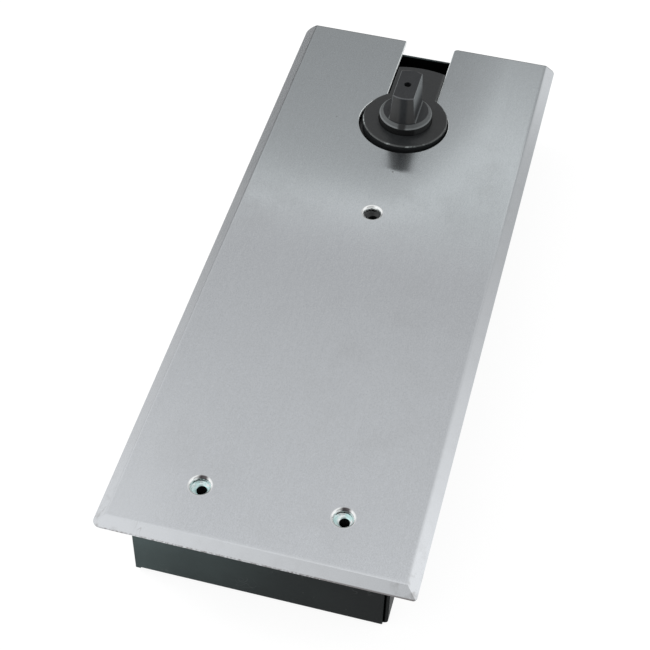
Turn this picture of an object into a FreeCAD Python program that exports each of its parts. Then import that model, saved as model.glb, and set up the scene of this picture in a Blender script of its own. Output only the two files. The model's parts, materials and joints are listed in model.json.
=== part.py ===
import FreeCAD, Part
import math
import os

from FreeCAD import Vector

os.makedirs("parts", exist_ok=True)

# Every size is in millimetres.
# The origin is on the underside of the cement box, below the spindle's axis.
# +X is across the closer, +Y runs toward the spindle's end, +Z is up.

# heart cam and rollers
cam_rest_pitch = 15.0
cam_rise_per_radian = 3.6
cam_thickness = 6.6
cam_core_radius = 8.6
cam_relief = 0.4
cam_side_gap = 3.7
roller_radius = 6.0
roller_gap = 0.1
roller_end_gap = 1.4
roller_height = 7.1
pin_radius = 2.5
pin_running_gap = 0.06

# carriage
carriage_sheet = 3.0
carriage_low = 13.0
carriage_gap_height = 7.6
carriage_half_width = 14.0
carriage_slot_gap = 0.4
carriage_travel = 8.4
carriage_far_radius = 9.5
carriage_far_edge = 4.1
crosshead_roller_gap = 3.0
crosshead_thickness = 8.0
crosshead_side_gap = 1.5
crosshead_lip = 1.0
rivet_radius = 2.0
rivet_x = 9.0
rivet_inset = 3.5
pressed_gap = 0.02
running_gap = 0.05

# springs
spring_mean_radius = 7.2
spring_wire_radial = 3.2
spring_wire_axial = 3.6
spring_bore_gap = 0.5
spring_length = 114.0
spring_turns = 11
spring_end_ring = 1.8
spring_end_lip = 0.1
spigot_radius = 5.2
spigot_length = 6.0
stop_length = 58.0
stop_floor = 3.0
stop_inner_radius = 5.5

# damper
damper_bore_radius = 10.0
bore_web = 7.7
damper_wall = 12.5
piston_rest_gap = 6.0
piston_length = 18.0
rod_radius = 5.0
rod_thread_radius = 3.5
piston_groove_from = 5.0
piston_ring_width = 2.4
piston_ring_depth = 1.6
check_chamber_radius = 2.6
check_passage_radius = 1.4
check_ball_radius = 2.2
check_seat_length = 6.0
check_chamber_length = 11.7
bleed_radius = 1.1
bleed_offset = 7.4

# speed valves
valve_from_piston = 30.0
valve_radius = 3.0
valve_tip_radius = 1.2
valve_top = 35.9
valve_shoulder = 30.0
valve_slot_width = 1.0
valve_slot_depth = 1.2
valve_ring_level = 32.5
valve_ring_height = 1.0
valve_ring_depth = 0.7
passage_radius = 1.25
passage_level = 28.0
port_radius = 1.0
latching_port_inset = 1.8
closing_port_lead = 1.0
return_port_step = 12.0

# casting
body_wall = 4.5
body_side_wall = 5.7
body_top = 36.5
body_corner_radius = 3.0
chamber_ceiling = 27.5
chamber_travel_gap = 3.1
chamber_wide_lead = 4.0
plateau_level = 42.7
plateau_radius = 19.8
tongue_width = 22.6
plateau_edge = 0.6
boss_radius = 6.0
boss_screw_y = -63.3
boss_thread_depth = 5.8

# cement box
box_side_space = 8.6
box_far_space = 12.2
box_near_space = 38.2
box_sheet = 1.5
box_bend_radius = 2.0
box_seam = 0.4
box_flap_short = 2.0
box_flap_low = 0.8
box_shift = 0.5

# cover plate
plate_side_overhang = 11.65
plate_far_overhang = 8.8
plate_near_overhang = 9.3
plate_play = 0.5
plate_hole_shift = 0.25
plate_sheet = 1.5
plate_rise = 3.0
plate_bevel = 4.5
plate_bend_radius = 1.5
rim_level = 37.5
left_corner_radius = 3.5
right_corner_radius = 1.5
cutout_radius = 21.0
cutout_offset = 1.1
slot_width = 24.0
slot_mouth_left = 1.0
slot_mouth_right = 2.0

# countersinks pressed into the cover plate for its screws
dimple_radius = 4.2
dimple_opening = 3.5
dimple_wall = 1.1
dimple_depth = 2.8
dimple_roll = 1.0

# strap and inserts for the two near plate screws
insert_x = 28.0
insert_from_wall = 17.3
insert_flange_radius = 5.0
insert_barrel_radius = 3.6
insert_length = 11.2
bridge_width = 10.0
bridge_sheet = 1.5
bridge_side_space = 5.3
bridge_foot = 2.2
bridge_level = 36.5

# threads are modelled as plain bores at their tapping size
m5_tapping_radius = 2.1
m4_tapping_radius = 1.65
thread_mouth_radius = 3.3

# base plate and gaskets
base_thickness = 4.5
gasket_thickness = 0.5
base_far_margin = 5.2
base_near_margin = 15.8
base_corner_radius = 4.0

# screws, studs and nuts
screw_radius = 2.0
screw_head_radius = 4.0
screw_length = 10.5
screw_gap = 0.05
screw_clearance_radius = 2.25
screw_tip = 0.5
socket_across_flats = 2.5
socket_depth = 1.4
far_screw_edge = 11.0
far_screw_y = 10.0
middle_screw_margin = 10.5
near_screw_margin = 8.0
end_screw_edge = 4.7
end_screw_low = 11.5
end_screw_high = 31.5
stud_radius = 3.0
stud_length = 14.5
stud_tip = 0.6
stud_slot_length = 10.0
stud_slot_width = 6.6
far_stud_edge = 7.0
far_stud_margin = 8.0
near_stud_x = 20.0
near_stud_gap = 10.2
flange_radius = 6.0
flange_height = 1.5
nut_across_flats = 10.0
nut_height = 5.0

# end cover
end_cover_thickness = 3.5
end_cover_margin = 1.0
end_cover_low = 7.1
end_cover_high = 35.9

# spindle
journal_radius = 8.0
journal_edge = 0.5
neck_radius = 9.5
collar_radius = 12.25
collar_chamfer = 1.8
collar_rise = 5.1
collar_opening_gap = 0.3
drive_end_radius = 10.4
drive_width_low = 12.0
drive_width_high = 9.8
drive_height = 15.1
spindle_hole_depth = 12.0

# upper bushing and seal
bushing_radius = 16.5
bushing_height = 5.5
seal_radius = 15.5
seal_height = 4.7
seal_sheet = 1.2
seal_lip_height = 2.6

# lower bearing
bearing_outer_radius = 15.0
bearing_height = 5.4
bearing_ring_gap = 0.4
ball_radius = 1.85
ball_count = 9
race_depth = 0.75
ball_gap = 0.1
cage_ring_thickness = 1.2
cage_ring_height = 1.6
bearing_cup_wall = 3.0

# lengths that follow from the cam outward, along the closer
far_roller_y = cam_rest_pitch + cam_rise_per_radian * math.pi
body_far_reach = far_roller_y + roller_radius + roller_end_gap + body_wall
crosshead_front = cam_rest_pitch + roller_radius + crosshead_roller_gap
crosshead_back = crosshead_front + crosshead_thickness
carriage_near_end = crosshead_back - crosshead_lip
carriage_far_centre = far_roller_y - carriage_far_edge
rivet_y = rivet_inset - carriage_near_end
chamber_near_wall = crosshead_back + carriage_travel + chamber_travel_gap
chamber_wide_from = chamber_wide_lead - crosshead_front
damper_wall_y = chamber_near_wall + damper_wall
piston_far_face = damper_wall_y + piston_rest_gap
valve_y = -piston_far_face - valve_from_piston
latching_port_y = -damper_wall_y - latching_port_inset
closing_port_y = closing_port_lead - piston_far_face
return_port_y = valve_y - return_port_step
spring_seat_y = crosshead_back + spring_length
body_near_reach = spring_seat_y + stop_length
box_far_reach = body_far_reach + box_far_space
box_near_reach = body_near_reach + box_near_space
plate_far_reach = box_far_reach + plate_far_overhang
plate_near_reach = box_near_reach + plate_near_overhang
base_far_reach = body_far_reach + base_far_margin
base_near_reach = body_near_reach + base_near_margin
insert_y = insert_from_wall - box_near_reach

# widths that follow from the bores outward
spring_bore_radius = spring_mean_radius + spring_wire_radial / 2 + spring_bore_gap
spring_x = damper_bore_radius + bore_web + spring_bore_radius
web_x = damper_bore_radius + bore_web / 2
body_half_width = spring_x + spring_bore_radius + body_side_wall
box_half_width = body_half_width + box_side_space
plate_half_width = box_half_width + plate_side_overhang
chamber_half_width = far_roller_y - roller_radius + cam_side_gap
chamber_arm_half_width = body_half_width - body_wall
crosshead_half_width = chamber_arm_half_width - crosshead_side_gap
body_end_centre = body_far_reach - body_half_width

# screws and studs, in pairs about the middle
far_screw_x = body_half_width - far_screw_edge
middle_screw_y = -chamber_near_wall - middle_screw_margin
near_screw_y = near_screw_margin - body_near_reach
end_screw_x = body_half_width - end_screw_edge
far_stud_x = body_half_width - far_stud_edge
far_stud_y = base_far_reach - far_stud_margin
near_stud_y = -body_near_reach - near_stud_gap
base_screw_places = [(side * far_screw_x, far_screw_y) for side in (-1, 1)]
base_screw_places += [(side * web_x, middle_screw_y) for side in (-1, 1)]
base_screw_places += [(side * web_x, near_screw_y) for side in (-1, 1)]
end_screw_places = [(side * end_screw_x, z) for z in (end_screw_low, end_screw_high) for side in (-1, 1)]
stud_places = [(side * far_stud_x, far_stud_y) for side in (-1, 1)]
stud_places += [(side * near_stud_x, near_stud_y) for side in (-1, 1)]

# levels that follow from the sizes above
plate_top = rim_level + plate_rise
box_height = plate_top - plate_sheet
boss_top = plate_top - dimple_depth
base_top = box_sheet + base_thickness
body_floor = base_top + gasket_thickness
carriage_mid = carriage_low + carriage_sheet + carriage_gap_height / 2
carriage_high = carriage_low + 2 * carriage_sheet + carriage_gap_height
cam_low = carriage_mid - cam_thickness / 2
collar_top = plateau_level + collar_rise
spindle_top = collar_top + drive_height
bearing_top = base_top + bearing_height + bearing_ring_gap
bearing_pitch = (journal_radius + bearing_outer_radius) / 2
bearing_land_inner = bearing_pitch - ball_radius + race_depth
bearing_land_outer = bearing_pitch + ball_radius - race_depth
bearing_mid = base_top + bearing_height / 2 + bearing_ring_gap / 2


def save(shape, name):
    shape = shape.removeSplitter()
    solids = shape.Solids
    if len(solids) != 1 or not shape.isValid():
        raise RuntimeError(name + " is not one valid solid: " + str(len(solids)))
    solids[0].exportStep("parts/" + name + ".step")


def block(x0, x1, y0, y1, z0, z1):
    return Part.makeBox(x1 - x0, y1 - y0, z1 - z0, Vector(x0, y0, z0))


def post(radius, x, y, z0, z1):
    return Part.makeCylinder(radius, z1 - z0, Vector(x, y, z0), Vector(0, 0, 1))


def rod(radius, x, z, y0, y1):
    return Part.makeCylinder(radius, y1 - y0, Vector(x, y0, z), Vector(0, 1, 0))


def ring(outer, inner, x, y, z0, z1):
    return post(outer, x, y, z0, z1).cut(post(inner, x, y, z0 - 1, z1 + 1))


def turned(outline, x=0.0, y=0.0):
    """Solid of revolution about a vertical line, from a list of radius and height."""
    points = [Vector(x + r, y, z) for r, z in outline]
    wire = Part.makePolygon(points + points[:1])
    return Part.Face(wire).revolve(Vector(x, y, 0), Vector(0, 0, 1), 360)


def turned_along(outline, x, z):
    """Solid of revolution about a line along Y, from a list of radius and distance."""
    points = [Vector(x + r, y, z) for r, y in outline]
    wire = Part.makePolygon(points + points[:1])
    return Part.Face(wire).revolve(Vector(x, 0, z), Vector(0, 1, 0), 360)


def prism(points, direction):
    wire = Part.makePolygon([Vector(*p) for p in points] + [Vector(*points[0])])
    return Part.Face(wire).extrude(Vector(*direction))


def rounded_block(x0, x1, y0, y1, z0, z1, left_radius, right_radius):
    """Block whose upright edges are rounded."""
    solid = block(x0, x1, y0, y1, z0, z1)
    for x, radius in ((x0, left_radius), (x1, right_radius)):
        edges = []
        for edge in solid.Edges:
            ends = [v.Point for v in edge.Vertexes]
            upright = abs(ends[0].z - ends[-1].z) > (z1 - z0) / 2
            if upright and abs(ends[0].x - x) < 1e-6:
                edges.append(edge)
        solid = solid.makeFillet(radius, edges)
    return solid


def hexagon(across_flats, x, y, z0, z1):
    radius = across_flats / math.sqrt(3)
    points = []
    for i in range(6):
        angle = math.radians(60 * i + 30)
        points.append((x + radius * math.cos(angle), y + radius * math.sin(angle), z0))
    return prism(points, (0, 0, z1 - z0))


def slot_along_x(length, width, x, y, z0, z1):
    half = (length - width) / 2
    solid = block(x - half, x + half, y - width / 2, y + width / 2, z0, z1)
    for side in (-half, half):
        solid = solid.fuse(post(width / 2, x + side, y, z0, z1))
    return solid.removeSplitter()


def bevelled_shell(inset):
    """Bevelled block of the cover plate, or its hollow when it is inset by the sheet."""
    slope = math.atan2(plate_rise, plate_bevel)
    shift = inset / math.tan((math.pi - slope) / 2)
    half = plate_half_width
    low = rim_level - plate_rise
    side_shift = inset / math.sin(slope)
    foot = half + plate_bevel - side_shift
    shoulder = half - plate_bevel - shift
    top = plate_top - inset
    near = -plate_near_reach
    far = plate_far_reach + plate_bevel
    start = near - 2 * plate_bevel
    across = [(-foot, start, low), (-shoulder, start, top), (shoulder, start, top), (foot, start, low)]
    solid = prism(across, (0, far - start, 0))
    side = half + 2 * plate_bevel
    near_foot = near - plate_bevel + side_shift
    near_shoulder = near + plate_bevel + shift
    along = [(-side, near_foot, low), (-side, near_shoulder, top), (-side, far, top), (-side, far, low)]
    return solid.common(prism(along, (2 * side, 0, 0)))


def plate_outline():
    """Plan of the cover plate with its rounded corners."""
    half = plate_half_width
    return rounded_block(-half, half, -plate_near_reach, plate_far_reach,
                         rim_level, plate_top + 1, left_corner_radius, right_corner_radius)


def keyhole(radius, centre_y, width, end_y, z0, z1):
    solid = post(radius, 0, centre_y, z0, z1)
    return solid.fuse(block(-width / 2, width / 2, centre_y, end_y, z0, z1)).removeSplitter()


def slot_mouth():
    """Rounds the plate's two corners beside the mouth of the slot."""
    half = slot_width / 2
    z0 = rim_level - 1
    z1 = plate_top + 1
    solid = None
    for side, radius in ((-1, slot_mouth_left), (1, slot_mouth_right)):
        y0 = plate_far_reach - radius
        x0 = side * half
        x1 = side * (half + radius)
        corner = block(min(x0, x1), max(x0, x1), y0, plate_far_reach + 1, z0, z1)
        corner = corner.cut(post(radius, x1, y0, z0 - 1, z1 + 1))
        solid = corner if solid is None else solid.fuse(corner)
    return solid


def rolled_mouth():
    """Outline of a countersink's rounded mouth, from its cone out to the plate's face."""
    slope = math.atan2(plate_sheet, dimple_radius - dimple_opening)
    reach = dimple_radius + dimple_roll * math.tan(slope / 2)
    points = []
    for step in range(4, -1, -1):
        turn = step * slope / 4
        points.append((reach - dimple_roll * math.sin(turn), plate_top - dimple_roll * (1 - math.cos(turn))))
    return points + [(reach, plate_top + 1)]


def cover_plate():
    """Cover plate, a little to the left of the spindle, its edges a little to the left of its holes."""
    outside = bevelled_shell(0.0)
    bends = []
    for edge in outside.Edges:
        middle = edge.CenterOfMass
        ends = [v.Point for v in edge.Vertexes]
        level = all(abs(p.z - plate_top) < 1e-6 for p in ends)
        if level and middle.y < plate_far_reach:
            bends.append(edge)
    outside = outside.makeFillet(plate_bend_radius, bends)
    solid = outside.cut(bevelled_shell(plate_sheet)).common(plate_outline())
    solid.translate(Vector(-plate_hole_shift, 0, 0))
    for x, y in ((0.0, boss_screw_y), (-insert_x, insert_y), (insert_x, insert_y)):
        wall = dimple_opening + dimple_wall
        flare = dimple_radius + dimple_wall
        cone = [(0, boss_top), (wall, boss_top), (flare, plate_top - plate_sheet), (flare, plate_top - plate_sheet / 2)]
        solid = solid.fuse(turned(cone + [(0, plate_top - plate_sheet / 2)], x, y))
        sink = [(0, boss_top - 1), (dimple_opening, boss_top - 1), (dimple_opening, plate_top - plate_sheet)]
        sink = sink + rolled_mouth() + [(0, plate_top + 1)]
        solid = solid.cut(turned(sink, x, y))
    opening = keyhole(cutout_radius, -cutout_offset, slot_width, plate_far_reach + 1, rim_level - 1, plate_top + 1)
    solid = solid.cut(opening).cut(slot_mouth())
    solid.translate(Vector(-plate_play, 0, 0))
    return solid


def bend_section(x, y, length, turn):
    """Quarter bend and upright wall of the folded box, along a side of its floor."""
    radius = box_bend_radius
    inner = radius - box_sheet
    wall = block(inner, radius, 0, length, radius, box_height)
    bend = post(radius, 0, 0, 0, length).cut(post(inner, 0, 0, -1, length + 1))
    bend = bend.common(block(0, radius + 1, 0, radius + 1, 0, length))
    bend.rotate(Vector(0, 0, 0), Vector(1, 0, 0), -90)
    bend.translate(Vector(0, 0, radius))
    solid = wall.fuse(bend)
    solid.rotate(Vector(0, 0, 0), Vector(0, 0, 1), turn)
    solid.translate(Vector(x, y, 0))
    return solid


def cement_box():
    """Folded box, a little to the left; each end's flap covers one side wall and stops short of the other."""
    half = box_half_width
    radius = box_bend_radius
    floor = block(radius - half, half - radius, radius - box_near_reach, box_far_reach - radius, 0, box_sheet)
    near = box_sheet + box_seam - box_near_reach
    far = box_far_reach - box_sheet - box_seam
    solid = floor.fuse(bend_section(half - radius, near, far - near, 0))
    solid = solid.fuse(bend_section(radius - half, far, far - near, 180))
    across = 2 * (half - radius)
    solid = solid.fuse(bend_section(half - radius, box_far_reach - radius, across, 90))
    solid = solid.fuse(bend_section(radius - half, radius - box_near_reach, across, 270))
    short = half - box_flap_short
    inside = half - radius
    near = -box_near_reach
    solid = solid.fuse(block(-half, short, near, near + box_sheet, radius, box_height))
    solid = solid.fuse(block(-half, -inside, near, near + box_sheet, box_flap_low, radius))
    far = box_far_reach
    solid = solid.fuse(block(-short, half, far - box_sheet, far, radius, box_height))
    solid = solid.fuse(block(inside, half, far - box_sheet, far, box_flap_low, radius))
    solid.translate(Vector(-box_shift, 0, 0))
    for x, y in stud_places:
        solid = solid.cut(post(stud_radius + pressed_gap, x, y, -1, box_sheet + 1))
    return solid


def fixing_bridge():
    half = box_half_width - bridge_side_space
    near = insert_y - bridge_width / 2
    sheet = bridge_sheet
    foot = half + bridge_foot
    right = [(half - sheet, bridge_level - sheet), (half - sheet, box_sheet), (foot, box_sheet)]
    right = right + [(foot, box_sheet + sheet), (half, box_sheet + sheet), (half, bridge_level)]
    points = [(x, near, z) for x, z in right] + [(-x, near, z) for x, z in reversed(right)]
    solid = prism(points, (0, bridge_width, 0))
    for x in (-insert_x, insert_x):
        solid = solid.cut(post(insert_barrel_radius + pressed_gap, x, insert_y, box_sheet, bridge_level + 1))
    return solid


def plate_insert(x):
    low = boss_top - insert_length
    outline = [(m5_tapping_radius, low), (insert_barrel_radius, low), (insert_barrel_radius, bridge_level)]
    outline = outline + [(insert_flange_radius, bridge_level), (insert_flange_radius, boss_top)]
    outline = outline + [(thread_mouth_radius, boss_top)]
    outline = outline + [(m5_tapping_radius, boss_top - thread_mouth_radius + m5_tapping_radius)]
    return turned(outline, x, insert_y)


def body_plan(margin, z0, z1):
    """Outline of the casting, drawn in by a margin."""
    half = body_half_width - margin
    near = margin - body_near_reach
    centre = body_end_centre
    solid = block(-half, half, near, centre, z0, z1)
    return solid.fuse(post(body_half_width - margin, 0, centre, z0, z1)).removeSplitter()


def chamber(z0, z1):
    """Room for the cam, the carriage and the crosshead's arms."""
    half = chamber_half_width
    arm = chamber_arm_half_width
    room = block(-half, half, -chamber_near_wall, body_far_reach, z0, z1)
    room = room.common(body_plan(body_wall, z0, z1))
    return room.fuse(block(-arm, arm, -chamber_near_wall, chamber_wide_from, z0, z1)).removeSplitter()


def plateau():
    solid = keyhole(plateau_radius, 0, tongue_width, body_far_reach + 1, body_top - 1, plateau_level)
    solid = solid.common(body_plan(0, body_top - 2, plateau_level + 1)).removeSplitter()
    edges = [e for e in solid.Edges if all(abs(v.Z - plateau_level) < 1e-6 for v in e.Vertexes)]
    return solid.makeChamfer(plateau_edge, edges)


def valve_bores(solid, side, far_port_y):
    """Screw bore, long passage and two ports of one speed valve."""
    x = side * web_x
    solid = solid.cut(post(valve_radius + running_gap, x, valve_y, valve_shoulder, body_top + 1))
    tip_end = passage_level - passage_radius
    solid = solid.cut(post(valve_tip_radius + running_gap, x, valve_y, tip_end, body_top))
    solid = solid.cut(rod(passage_radius, x, passage_level, -body_near_reach - 1, -damper_wall_y))
    length = math.hypot(web_x, passage_level - carriage_mid)
    direction = Vector(-x, 0, carriage_mid - passage_level)
    for y in (far_port_y, return_port_y):
        start = Vector(x, y, passage_level)
        solid = solid.cut(Part.makeCylinder(port_radius, length, start, direction))
    return solid


def closer_body():
    solid = body_plan(0, body_floor, body_top)
    corners = []
    for edge in solid.Edges:
        ends = [v.Point for v in edge.Vertexes]
        upright = abs(ends[0].z - ends[-1].z) > (body_top - body_floor) / 2
        if upright and abs(ends[0].y + body_near_reach) < 1e-6:
            corners.append(edge)
    solid = solid.makeFillet(body_corner_radius, corners)
    solid = solid.fuse(plateau())
    solid = solid.fuse(post(boss_radius, 0, boss_screw_y, body_top - 1, boss_top))
    mouth = [(0, boss_top - boss_thread_depth), (m5_tapping_radius, boss_top - boss_thread_depth)]
    mouth = mouth + [(m5_tapping_radius, boss_top - thread_mouth_radius + m5_tapping_radius)]
    mouth = mouth + [(thread_mouth_radius, boss_top), (thread_mouth_radius, boss_top + 1), (0, boss_top + 1)]
    solid = solid.cut(turned(mouth, 0, boss_screw_y))
    solid = solid.cut(chamber(body_floor - 1, chamber_ceiling))
    solid = solid.cut(post(bushing_radius, 0, 0, chamber_ceiling - 1, chamber_ceiling + bushing_height))
    solid = solid.cut(post(seal_radius, 0, 0, chamber_ceiling, chamber_ceiling + bushing_height + seal_height))
    solid = solid.cut(post(collar_radius + collar_opening_gap, 0, 0, chamber_ceiling, plateau_level + 1))
    near = -body_near_reach - 1
    for x in (-spring_x, spring_x):
        solid = solid.cut(rod(spring_bore_radius, x, carriage_mid, near, -crosshead_front))
    solid = solid.cut(rod(damper_bore_radius, 0, carriage_mid, near, -damper_wall_y))
    solid = solid.cut(rod(rod_radius + running_gap, 0, carriage_mid, near, 1 - chamber_near_wall))
    solid = valve_bores(solid, -1, closing_port_y)
    solid = valve_bores(solid, 1, latching_port_y)
    for x, y in base_screw_places:
        solid = solid.cut(post(screw_radius + screw_gap, x, y, body_floor - 1, box_sheet + screw_length + screw_tip))
    for x, z in end_screw_places:
        tip = -body_near_reach + screw_length - end_cover_thickness
        solid = solid.cut(rod(screw_radius + screw_gap, x, z, near, tip))
    return solid


def base_plate():
    half = body_half_width
    solid = rounded_block(-half, half, -base_near_reach, base_far_reach, box_sheet, base_top,
                          base_corner_radius, base_corner_radius)
    cup = bearing_outer_radius + bearing_cup_wall
    solid = solid.fuse(post(cup, 0, 0, base_top - 1, base_top + bearing_height))
    solid = solid.cut(post(bearing_outer_radius + pressed_gap, 0, 0, base_top, bearing_top + 1))
    for x, y in stud_places:
        solid = solid.cut(slot_along_x(stud_slot_length, stud_slot_width, x, y, box_sheet - 1, base_top + 1))
    for x, y in base_screw_places:
        solid = solid.cut(screw_space(screw_clearance_radius, x, y))
    return solid


def screw_space(radius, x, y):
    """Countersunk clearance hole, from below."""
    z = box_sheet
    edge = screw_head_radius + screw_gap
    taper = edge - radius
    outline = [(0, z - 1), (edge, z - 1), (edge, z), (radius, z + taper), (radius, base_top + 1), (0, base_top + 1)]
    return turned(outline, x, y)


def base_gasket():
    solid = body_plan(0, base_top, body_floor).cut(chamber(base_top - 1, body_floor + 1))
    for x, y in base_screw_places:
        solid = solid.cut(post(screw_clearance_radius, x, y, base_top - 1, body_floor + 1))
    return solid


def countersunk_screw():
    """Screw with its head's face at the origin and its shank along +Z."""
    taper = screw_head_radius - screw_radius
    outline = [(0, 0), (screw_head_radius, 0), (screw_radius, taper), (screw_radius, screw_length - screw_tip)]
    outline = outline + [(screw_radius - screw_tip, screw_length), (0, screw_length)]
    solid = turned(outline)
    return solid.cut(hexagon(socket_across_flats, 0, 0, -1, socket_depth))


def base_screw(x, y):
    solid = countersunk_screw()
    solid.translate(Vector(x, y, box_sheet))
    return solid


def end_screw(x, z):
    solid = countersunk_screw()
    solid.rotate(Vector(0, 0, 0), Vector(1, 0, 0), -90)
    solid.translate(Vector(x, -body_near_reach - gasket_thickness - end_cover_thickness, z))
    return solid


def box_stud(x, y):
    outline = [(0, 0), (stud_radius, 0), (stud_radius, stud_length - stud_tip)]
    outline = outline + [(stud_radius - stud_tip, stud_length), (0, stud_length)]
    return turned(outline, x, y)


def flange_nut(x, y):
    solid = post(flange_radius, x, y, base_top, base_top + flange_height)
    solid = solid.fuse(hexagon(nut_across_flats, x, y, base_top, base_top + flange_height + nut_height))
    return solid.cut(post(stud_radius + screw_gap, x, y, base_top - 1, base_top + flange_height + nut_height + 1))


def end_plate(y0, y1):
    half = body_half_width - end_cover_margin
    return block(-half, half, y0, y1, end_cover_low, end_cover_high)


def end_gasket():
    near = -body_near_reach - gasket_thickness
    solid = end_plate(near, -body_near_reach)
    for x, z in end_screw_places:
        solid = solid.cut(rod(screw_clearance_radius, x, z, near - 1, 1 - body_near_reach))
    return solid


def end_cover():
    far = -body_near_reach - gasket_thickness
    near = far - end_cover_thickness
    solid = end_plate(near, far)
    edge = screw_head_radius + screw_gap
    radius = screw_clearance_radius
    for x, z in end_screw_places:
        outline = [(0, near - 1), (edge, near - 1), (edge, near), (radius, near + edge - radius)]
        outline = outline + [(radius, far + 1), (0, far + 1)]
        solid = solid.cut(turned_along(outline, x, z))
    return solid


def upper_bushing():
    z = chamber_ceiling
    return ring(bushing_radius, collar_radius + running_gap, 0, 0, z, z + bushing_height)


def spindle_seal():
    low = chamber_ceiling + bushing_height
    high = low + seal_height
    inside = collar_radius + 2 * running_gap
    shell = seal_radius - seal_sheet
    outline = [(seal_radius, low), (seal_radius, high), (inside, high), (inside, high - seal_lip_height)]
    outline = outline + [(inside + seal_sheet, high - seal_lip_height), (inside + seal_sheet, high - seal_sheet)]
    outline = outline + [(shell, high - seal_sheet), (shell, low)]
    return turned(outline)


def cam_edge(angle):
    """Point on the cam's edge, where the roller at this angle from the dimple touches it."""
    pitch = cam_rest_pitch + cam_rise_per_radian * abs(angle)
    slope = math.copysign(cam_rise_per_radian, angle)
    length = math.hypot(pitch, slope)
    reach = roller_radius + roller_gap
    radial = pitch - reach * pitch / length
    along = reach * slope / length
    turn = angle - math.pi / 2
    x = radial * math.cos(turn) - along * math.sin(turn)
    y = radial * math.sin(turn) + along * math.cos(turn)
    return Vector(x, y, 0)


def cam_face():
    """Heart shape: pitch radius grows evenly with the angle on both sides of the dimple."""
    steps = 26
    last = math.pi * 0.985
    first = 0.0001
    right = [cam_edge(first + (last - first) * i / steps) for i in range(steps + 1)]
    left = [Vector(-p.x, p.y, 0) for p in right]
    curves = []
    for points in (right, left):
        curve = Part.BSplineCurve()
        curve.interpolate(points)
        curves.append(curve.toShape())
    reach = roller_radius + roller_gap
    bottom = Vector(0, reach - cam_rest_pitch, 0)
    dimple = Part.Arc(left[0], bottom, right[0]).toShape()
    peak = cam_rest_pitch + cam_rise_per_radian * math.pi - reach
    tip = Part.Arc(right[-1], Vector(0, peak, 0), left[-1]).toShape()
    wire = Part.Wire(Part.__sortEdges__([curves[0], tip, curves[1], dimple]))
    return Part.Face(wire)


def drive():
    """Flat-sided drive: round ends, sides drawn in toward the top."""
    solid = post(drive_end_radius, 0, 0, collar_top - 1, spindle_top)
    low = collar_top - 1
    half_low = drive_width_low / 2
    half_high = drive_width_high / 2
    reach = drive_end_radius + 1
    sides = [(-half_low, -reach, low), (half_low, -reach, low), (half_low, -reach, collar_top)]
    sides = sides + [(half_high, -reach, spindle_top), (-half_high, -reach, spindle_top), (-half_low, -reach, collar_top)]
    return solid.common(prism(sides, (0, 2 * reach, 0)))


def spindle():
    foot = base_top + 1
    shaft = [(0, foot), (journal_radius - journal_edge, foot), (journal_radius, foot + journal_edge)]
    relief_low = cam_low - cam_relief
    relief_high = cam_low + cam_thickness + cam_relief
    shaft = shaft + [(journal_radius, bearing_top), (neck_radius, bearing_top), (neck_radius, relief_low)]
    shaft = shaft + [(cam_core_radius, relief_low), (cam_core_radius, relief_high), (neck_radius, relief_high)]
    shaft = shaft + [(neck_radius, chamber_ceiling), (collar_radius, chamber_ceiling)]
    shaft = shaft + [(collar_radius, collar_top - collar_chamfer)]
    shaft = shaft + [(collar_radius - collar_chamfer, collar_top), (0, collar_top)]
    solid = turned(shaft)
    cam = cam_face().extrude(Vector(0, 0, cam_thickness))
    cam.translate(Vector(0, 0, cam_low))
    solid = solid.fuse(cam).fuse(drive())
    return solid.cut(post(m4_tapping_radius, 0, 0, spindle_top - spindle_hole_depth, spindle_top + 1))


def bearing_groove():
    return Part.makeTorus(bearing_pitch, ball_radius + ball_gap, Vector(0, 0, bearing_mid), Vector(0, 0, 1))


def lower_bearing_outer():
    solid = ring(bearing_outer_radius, bearing_land_outer, 0, 0, base_top, base_top + bearing_height)
    return solid.cut(bearing_groove())


def lower_bearing_inner():
    low = base_top + bearing_ring_gap
    solid = ring(bearing_land_inner, journal_radius + pressed_gap, 0, 0, low, bearing_top)
    return solid.cut(bearing_groove())


def lower_bearing_cage():
    half = cage_ring_height / 2
    inner = bearing_pitch - cage_ring_thickness / 2
    solid = ring(inner + cage_ring_thickness, inner, 0, 0, bearing_mid - half, bearing_mid + half)
    for i in range(ball_count):
        angle = 2 * math.pi * (i + 0.5) / ball_count
        centre = Vector(bearing_pitch * math.cos(angle), bearing_pitch * math.sin(angle), bearing_mid)
        forward = Vector(-math.sin(angle), math.cos(angle), 0)
        solid = solid.fuse(Part.makeSphere(ball_radius, centre, forward))
    return solid


def roller(y):
    low = carriage_mid - roller_height / 2
    return ring(roller_radius, pin_radius + pin_running_gap, 0, y, low, low + roller_height)


def roller_pin(y):
    return post(pin_radius, 0, y, carriage_low, carriage_high)


def carriage_plate(low):
    high = low + carriage_sheet
    half = carriage_half_width
    solid = block(-half, half, -carriage_near_end, carriage_far_centre, low, high)
    solid = solid.fuse(post(carriage_far_radius, 0, carriage_far_centre, low, high))
    opening = neck_radius + carriage_slot_gap
    room = block(-opening, opening, 0, carriage_travel, low - 1, high + 1)
    for y in (0, carriage_travel):
        room = room.fuse(post(opening, 0, y, low - 1, high + 1))
    solid = solid.cut(room)
    for y in (-cam_rest_pitch, far_roller_y):
        solid = solid.cut(post(pin_radius + pressed_gap, 0, y, low - 1, high + 1))
    for x in (-rivet_x, rivet_x):
        solid = solid.cut(post(rivet_radius + pressed_gap, x, rivet_y, low - 1, high + 1))
    return solid


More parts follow.
